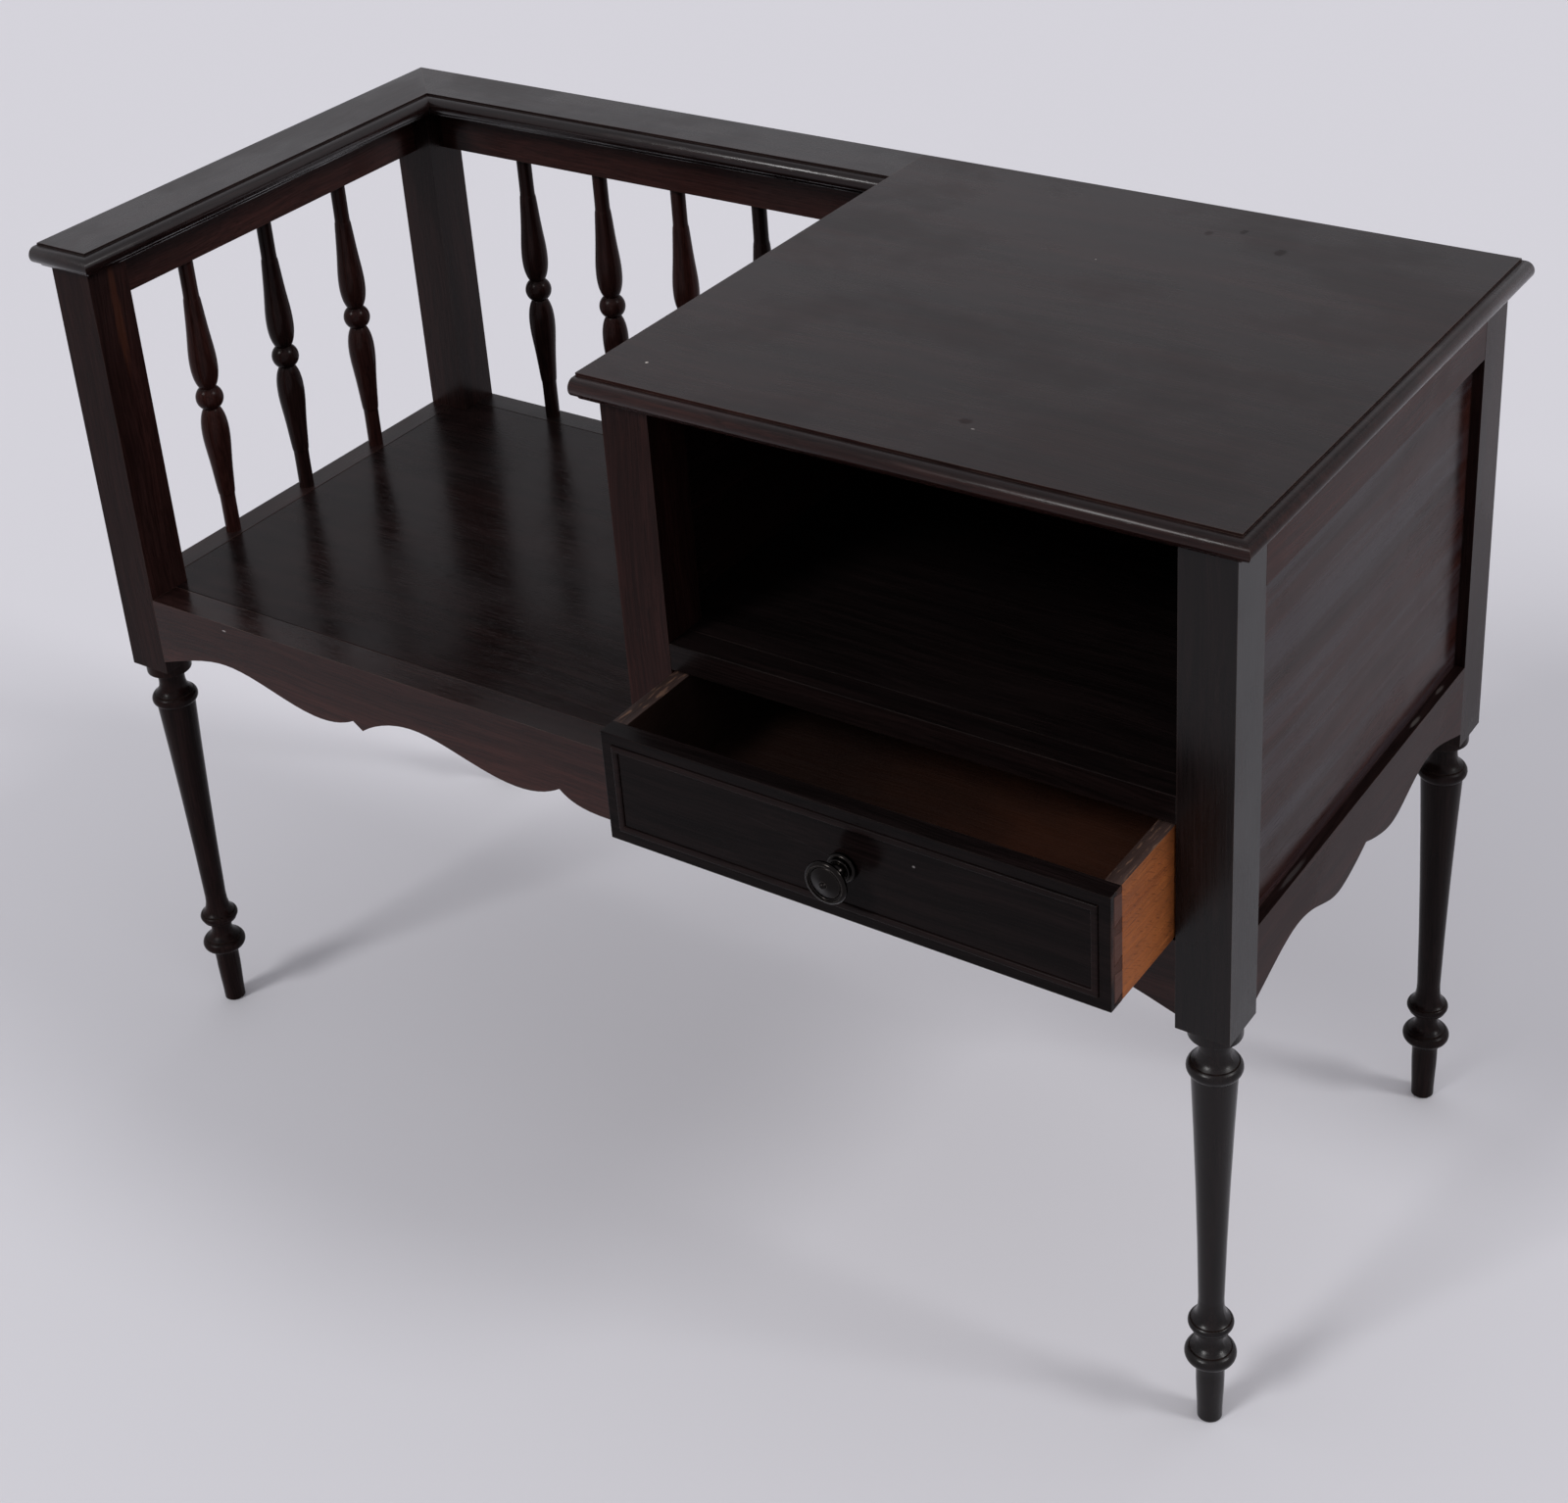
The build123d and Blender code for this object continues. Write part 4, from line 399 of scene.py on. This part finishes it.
# ------------------------------------------------------------------ which finish goes where
ALONG_Y = (
    "left_apron", "right_apron", "arm_rail", "arm_cap", "right_top_rail", "cabinet_left_top_rail",
    "cabinet_left_bottom_rail", "right_panel", "cabinet_left_panel", "left_seat_cleat",
    "right_seat_cleat", "seat_bearer", "glue_blocks", "left_drawer_guide", "right_drawer_guide",
    "left_kicker", "right_kicker", "drawer_left_side", "drawer_right_side",
)
SQUARE_EDGED = (
    "cabinet_top", "arm_cap", "back_cap", "front_apron", "left_apron", "right_apron",
    "back_seat_rail", "seat_board", "right_top_rail", "right_panel", "arm_rail", "back_top_rail",
    "shelf_rail", "shelf_board", "drawer_front", "drawer_left_side", "drawer_right_side",
)
INNER_WOOD = (
    "front_seat_cleat", "back_seat_cleat", "left_seat_cleat", "right_seat_cleat", "seat_bearer",
    "glue_blocks", "cabinet_floor", "drawer_stops", "left_kicker", "right_kicker",
    "left_drawer_guide", "right_drawer_guide",
)
OUTER_FACE = {  # which way the outer face of each piece of the drawer looks: axis, from and to
    "drawer_left_side": ("X", -0.4, -0.6),
    "drawer_right_side": ("X", 0.4, 0.6),
    "drawer_back": ("Y", 0.4, 0.6),
    "drawer_bottom": ("Z", -0.4, -0.6),
}
# dull stains on the polish: centre and half length on each axis
STAINS = {
    "cabinet_top": (
        ((0.2851, -0.1167, TABLE_TOP), (0.0085, 0.0060, 0.004)),
        ((0.2867, 0.2256, TABLE_TOP), (0.0055, 0.0070, 0.004)),
        ((0.3087, 0.2381, TABLE_TOP), (0.0050, 0.0070, 0.004)),
        ((0.3479, 0.2144, TABLE_TOP), (0.0075, 0.0100, 0.004)),
    ),
}
# small marks of age: centre, half length on each axis, colour and strength
MARKS = {
    "front_apron": (((-0.3848, FRONT, 0.4175), (0.0034, 0.004, 0.0011), (0.42, 0.38, 0.37, 1), 0.9),),
    "cabinet_top": (
        ((0.0492, -0.1362, TABLE_TOP), (0.0018, 0.0018, 0.002), (0.45, 0.41, 0.38, 1), 1.0),
        ((0.2945, -0.1240, TABLE_TOP), (0.0022, 0.0012, 0.002), (0.20, 0.18, 0.17, 1), 0.9),
        ((0.2360, 0.1480, TABLE_TOP), (0.0010, 0.0010, 0.002), (0.30, 0.27, 0.25, 1), 0.9),
    ),
    "arm_cap": (((-0.4505, -0.1110, 0.7120), (0.004, 0.0095, 0.0020), (0.24, 0.18, 0.15, 1), 0.9),),
    "drawer_front": (
        ((0.317, DRAWER_LOW.y, 0.4857), (0.0019, 0.004, 0.0014), (0.26, 0.24, 0.24, 1), 0.8),
        ((DRAWER_HIGH.x, DRAWER_HIGH.y, 0.468), (0.001, 0.024, 0.080), STAINED_END, 0.85),
    ),
    "front_left_post": (
        ((-0.4643, -0.144, 0.668), (0.006, 0.0070, 0.080), (0.08, 0.026, 0.014, 1), 0.4),
    ),
    "right_apron": (
        ((0.4928, 0.142, 0.424), (0.0026, 0.013, 0.002), (0.17, 0.15, 0.14, 1), 0.45),
        ((0.4920, 0.190, 0.424), (0.0024, 0.011, 0.002), (0.15, 0.13, 0.12, 1), 0.4),
        ((0.4926, -0.066, 0.424), (0.0030, 0.030, 0.002), (0.09, 0.08, 0.08, 1), 0.45),
    ),
    "right_panel": (
        ((0.4887, -0.125, 0.655), (0.01, 0.035, 0.030), (0.050, 0.016, 0.012, 1), 0.5),
        ((0.4887, 0.225, 0.600), (0.01, 0.018, 0.090), (0.050, 0.016, 0.012, 1), 0.5),
    ),
}
# how red, glossy, worn and hazy each stained piece is, and its shine, where it isn't as most are
STAIN = {
    "front_left_post": (0.34, 0.4, 0.4, 0.0, 1.15),
    "back_left_post": (0.22, 0.5, 0.4, 0.0, 1.22),
    "front_right_post": (0.03, 0.5, 0.4, 0.0, 1.30),
    "back_right_post": (0.25, 0.4, 0.4, 0.0, 1.17),
    "cabinet_front_post": (0.5, 0.5, 0.4, 0.0, 1.15),
    "arm_spindle_1": (0.55, 0.7, 0.3, 0.0, 1.15),
    "arm_spindle_2": (0.15, 0.7, 0.3, 0.0, 1.15),
    "arm_spindle_3": (0.45, 0.7, 0.3, 0.0, 1.15),
    "back_spindle_1": (0.2, 0.7, 0.3, 0.0, 1.15),
    "back_spindle_2": (0.3, 0.7, 0.3, 0.0, 1.15),
    "back_spindle_3": (0.6, 0.7, 0.3, 0.0, 1.15),
    "back_spindle_4": (0.15, 0.7, 0.3, 0.0, 1.15),
    "back_spindle_5": (0.25, 0.7, 0.3, 0.0, 1.15),
    "arm_rail": (0.7, 0.4, 0.3, 0.0, 1.18),
    "back_top_rail": (0.7, 0.4, 0.3, 0.0, 1.18),
    "front_apron": (0.74, 0.95, 1.0),
    "left_apron": (0.5, 0.5, 0.5),
    "right_apron": (0.6, 0.4, 0.5, 0.0, 1.12),
    "right_top_rail": (0.75, 0.3, 0.4, 0.0, 1.14),
    "right_panel": (0.55, 0.5, 0.3, 0.7, 1.16),
    "seat_board": (0.3, 0.95, 0.3, 0.0, 1.18),
    "cabinet_top": (0.45, 0.65, 0.8, 0.0, 1.26),
    "arm_cap": (0.14, 0.6, 0.6, 0.0, 1.39),
    "back_cap": (0.14, 0.6, 0.6, 0.0, 1.34),
    "drawer_front": (0.02, 0.7, 0.6, 0.0, 1.14),
    "drawer_bead": (0.12, 0.7, 0.7, 0.0, 1.16),
    "shelf_board": (0.03, 0.6, 0.5),
    "shelf_rail": (0.04, 0.5, 0.9, 0.0, 1.16),
}
USUAL_STAIN = (0.25, 0.5, 0.4)


def grain_of(name):
    if name in ALONG_Y:
        return "Y"
    if name.endswith("_post") or "spindle" in name:
        return "Z"
    return "X"


def soften(piece, width):
    """Takes the sharpness off a squared board, so that its joints show as fine lines."""
    weld = piece.modifiers.new("weld", "WELD")
    weld.merge_threshold = 1e-6
    bevel = piece.modifiers.new("bevel", "BEVEL")
    bevel.width = width
    bevel.segments = 2
    bevel.limit_method = "ANGLE"
    bevel.angle_limit = math.radians(50)
    bevel.harden_normals = False


def dress(number, name):
    """Gives one piece of the frame its finish."""
    grain = grain_of(name)
    place = tuple(number * step % size for step, size in zip(PLANK_STEP, PLANK_SIZE))
    if name == "drawer_knob":
        material = dark_metal(name, KNOB_METAL, KNOB_RUBBED, KNOB_ROUGHNESS)
    elif name.endswith("screws") or name == "knob_screw":
        material = dark_metal(name, SCREW_METAL, SCREW_RUBBED, SCREW_ROUGHNESS)
    elif name in OUTER_FACE:
        material = drawer_wood(name, grain, place)
    elif name in INNER_WOOD:
        material = plain_wood(name, grain, place, INNER_PALE, INNER_DEEP, INNER_DULLNESS)
    else:
        material = stained_wood(name, grain, place, *STAIN.get(name, USUAL_STAIN))
    mesh = nodes[name].data
    mesh.materials.clear()
    mesh.materials.append(material)
    if name in SQUARE_EDGED:
        soften(nodes[name], SEAT_ROUNDING if name == "seat_board" else EDGE_ROUNDING)


FIGURE = wood_figure()
for index, node_name in enumerate(sorted(nodes)):
    dress(index, node_name)

# ------------------------------------------------------------------ studio
PAPER = (0.672, 0.664, 0.703, 1)  # pale, slightly violet paper
ROOM = (0.075, 0.074, 0.078, 1)  # a dim room in front, which lights the bench and isn't seen
CEILING = (0.550, 0.547, 0.565, 1)  # the soft light from all over the ceiling
FLOOR_RADIUS = 14.0
FLOOR_SIDES = 64
PAPER_FRONT = (-0.90, -0.55)  # where the paper's own light on the bench fades out in front
PAPER_RIGHT = (0.85, 1.45)  # and on the right
LAMPS = (  # the way the light travels, its strength and the angle its source spans
    ((0.27, 0.80, -0.72), 1.20, 15.0),  # from the front left
    ((-0.85, -0.16, -0.72), 0.90, 14.0),  # from the right
)


def shown(tree):
    """1 for the camera's rays and for those in gloss and glass, which all see the same paper."""
    path = add(tree, "ShaderNodeLightPath").outputs
    seen = math_node(tree, "MAXIMUM", path["Is Camera Ray"], path["Is Glossy Ray"])
    return math_node(tree, "MAXIMUM", seen, path["Is Transmission Ray"])


def make_floor():
    """A plain round sheet of paper, far larger than the view."""
    mesh = bpy.data.meshes.new("floor")
    turns = [math.tau * i / FLOOR_SIDES for i in range(FLOOR_SIDES)]
    rim = [(FLOOR_RADIUS * math.cos(turn), FLOOR_RADIUS * math.sin(turn), 0.0) for turn in turns]
    mesh.from_pydata(rim, [], [tuple(range(FLOOR_SIDES))])
    floor = bpy.data.objects.new("floor", mesh)
    bpy.context.scene.collection.objects.link(floor)
    material, tree, shader = new_material("floor_paper")
    spot = parts_of(tree, add(tree, "ShaderNodeNewGeometry").outputs["Position"])
    reach = math_node(
        tree,
        "MULTIPLY",
        remap(tree, spot["Y"], *PAPER_FRONT),
        remap(tree, spot["X"], *PAPER_RIGHT, 1.0, 0.2),
    )
    lit = blend_colours(tree, reach, ROOM, PAPER)
    seen = shown(tree)
    tree.links.new(blend_colours(tree, seen, lit, PAPER), shader.inputs["Base Color"])
    shader.inputs["Roughness"].default_value = 0.9
    shader.inputs["Specular IOR Level"].default_value = 0.2
    mesh.materials.append(material)


def make_world():
    """Pale where it is seen. What lights the bench is a pale backdrop, the ceiling and a dim room."""
    world = bpy.data.worlds.new("studio")
    bpy.context.scene.world = world
    world.use_nodes = True
    tree = world.node_tree
    way = parts_of(tree, add(tree, "ShaderNodeTexCoord").outputs["Generated"])
    behind = remap(tree, way["Y"], 0.0, 0.45)
    low_enough = remap(tree, way["Z"], 0.95, 0.55)
    room = blend_colours(tree, remap(tree, way["Z"], 0.1, 0.5), ROOM, CEILING)
    around = blend_colours(tree, math_node(tree, "MULTIPLY", behind, low_enough), room, PAPER)
    seen = shown(tree)
    back = tree.nodes["Background"]
    tree.links.new(blend_colours(tree, seen, around, PAPER), back.inputs["Color"])
    back.inputs["Strength"].default_value = 1.0


def make_lamps():
    """Two soft lamps, far away."""
    for number, (way, strength, angle) in enumerate(LAMPS):
        data = bpy.data.lights.new(f"lamp_{number}", "SUN")
        data.energy = strength
        data.angle = math.radians(angle)
        lamp = bpy.data.objects.new(f"lamp_{number}", data)
        lamp.rotation_euler = Vector(way).to_track_quat("-Z", "Y").to_euler()
        bpy.context.scene.collection.objects.link(lamp)


make_floor()
make_world()
make_lamps()
make_camera()
bpy.context.scene.view_settings.view_transform = "Standard"
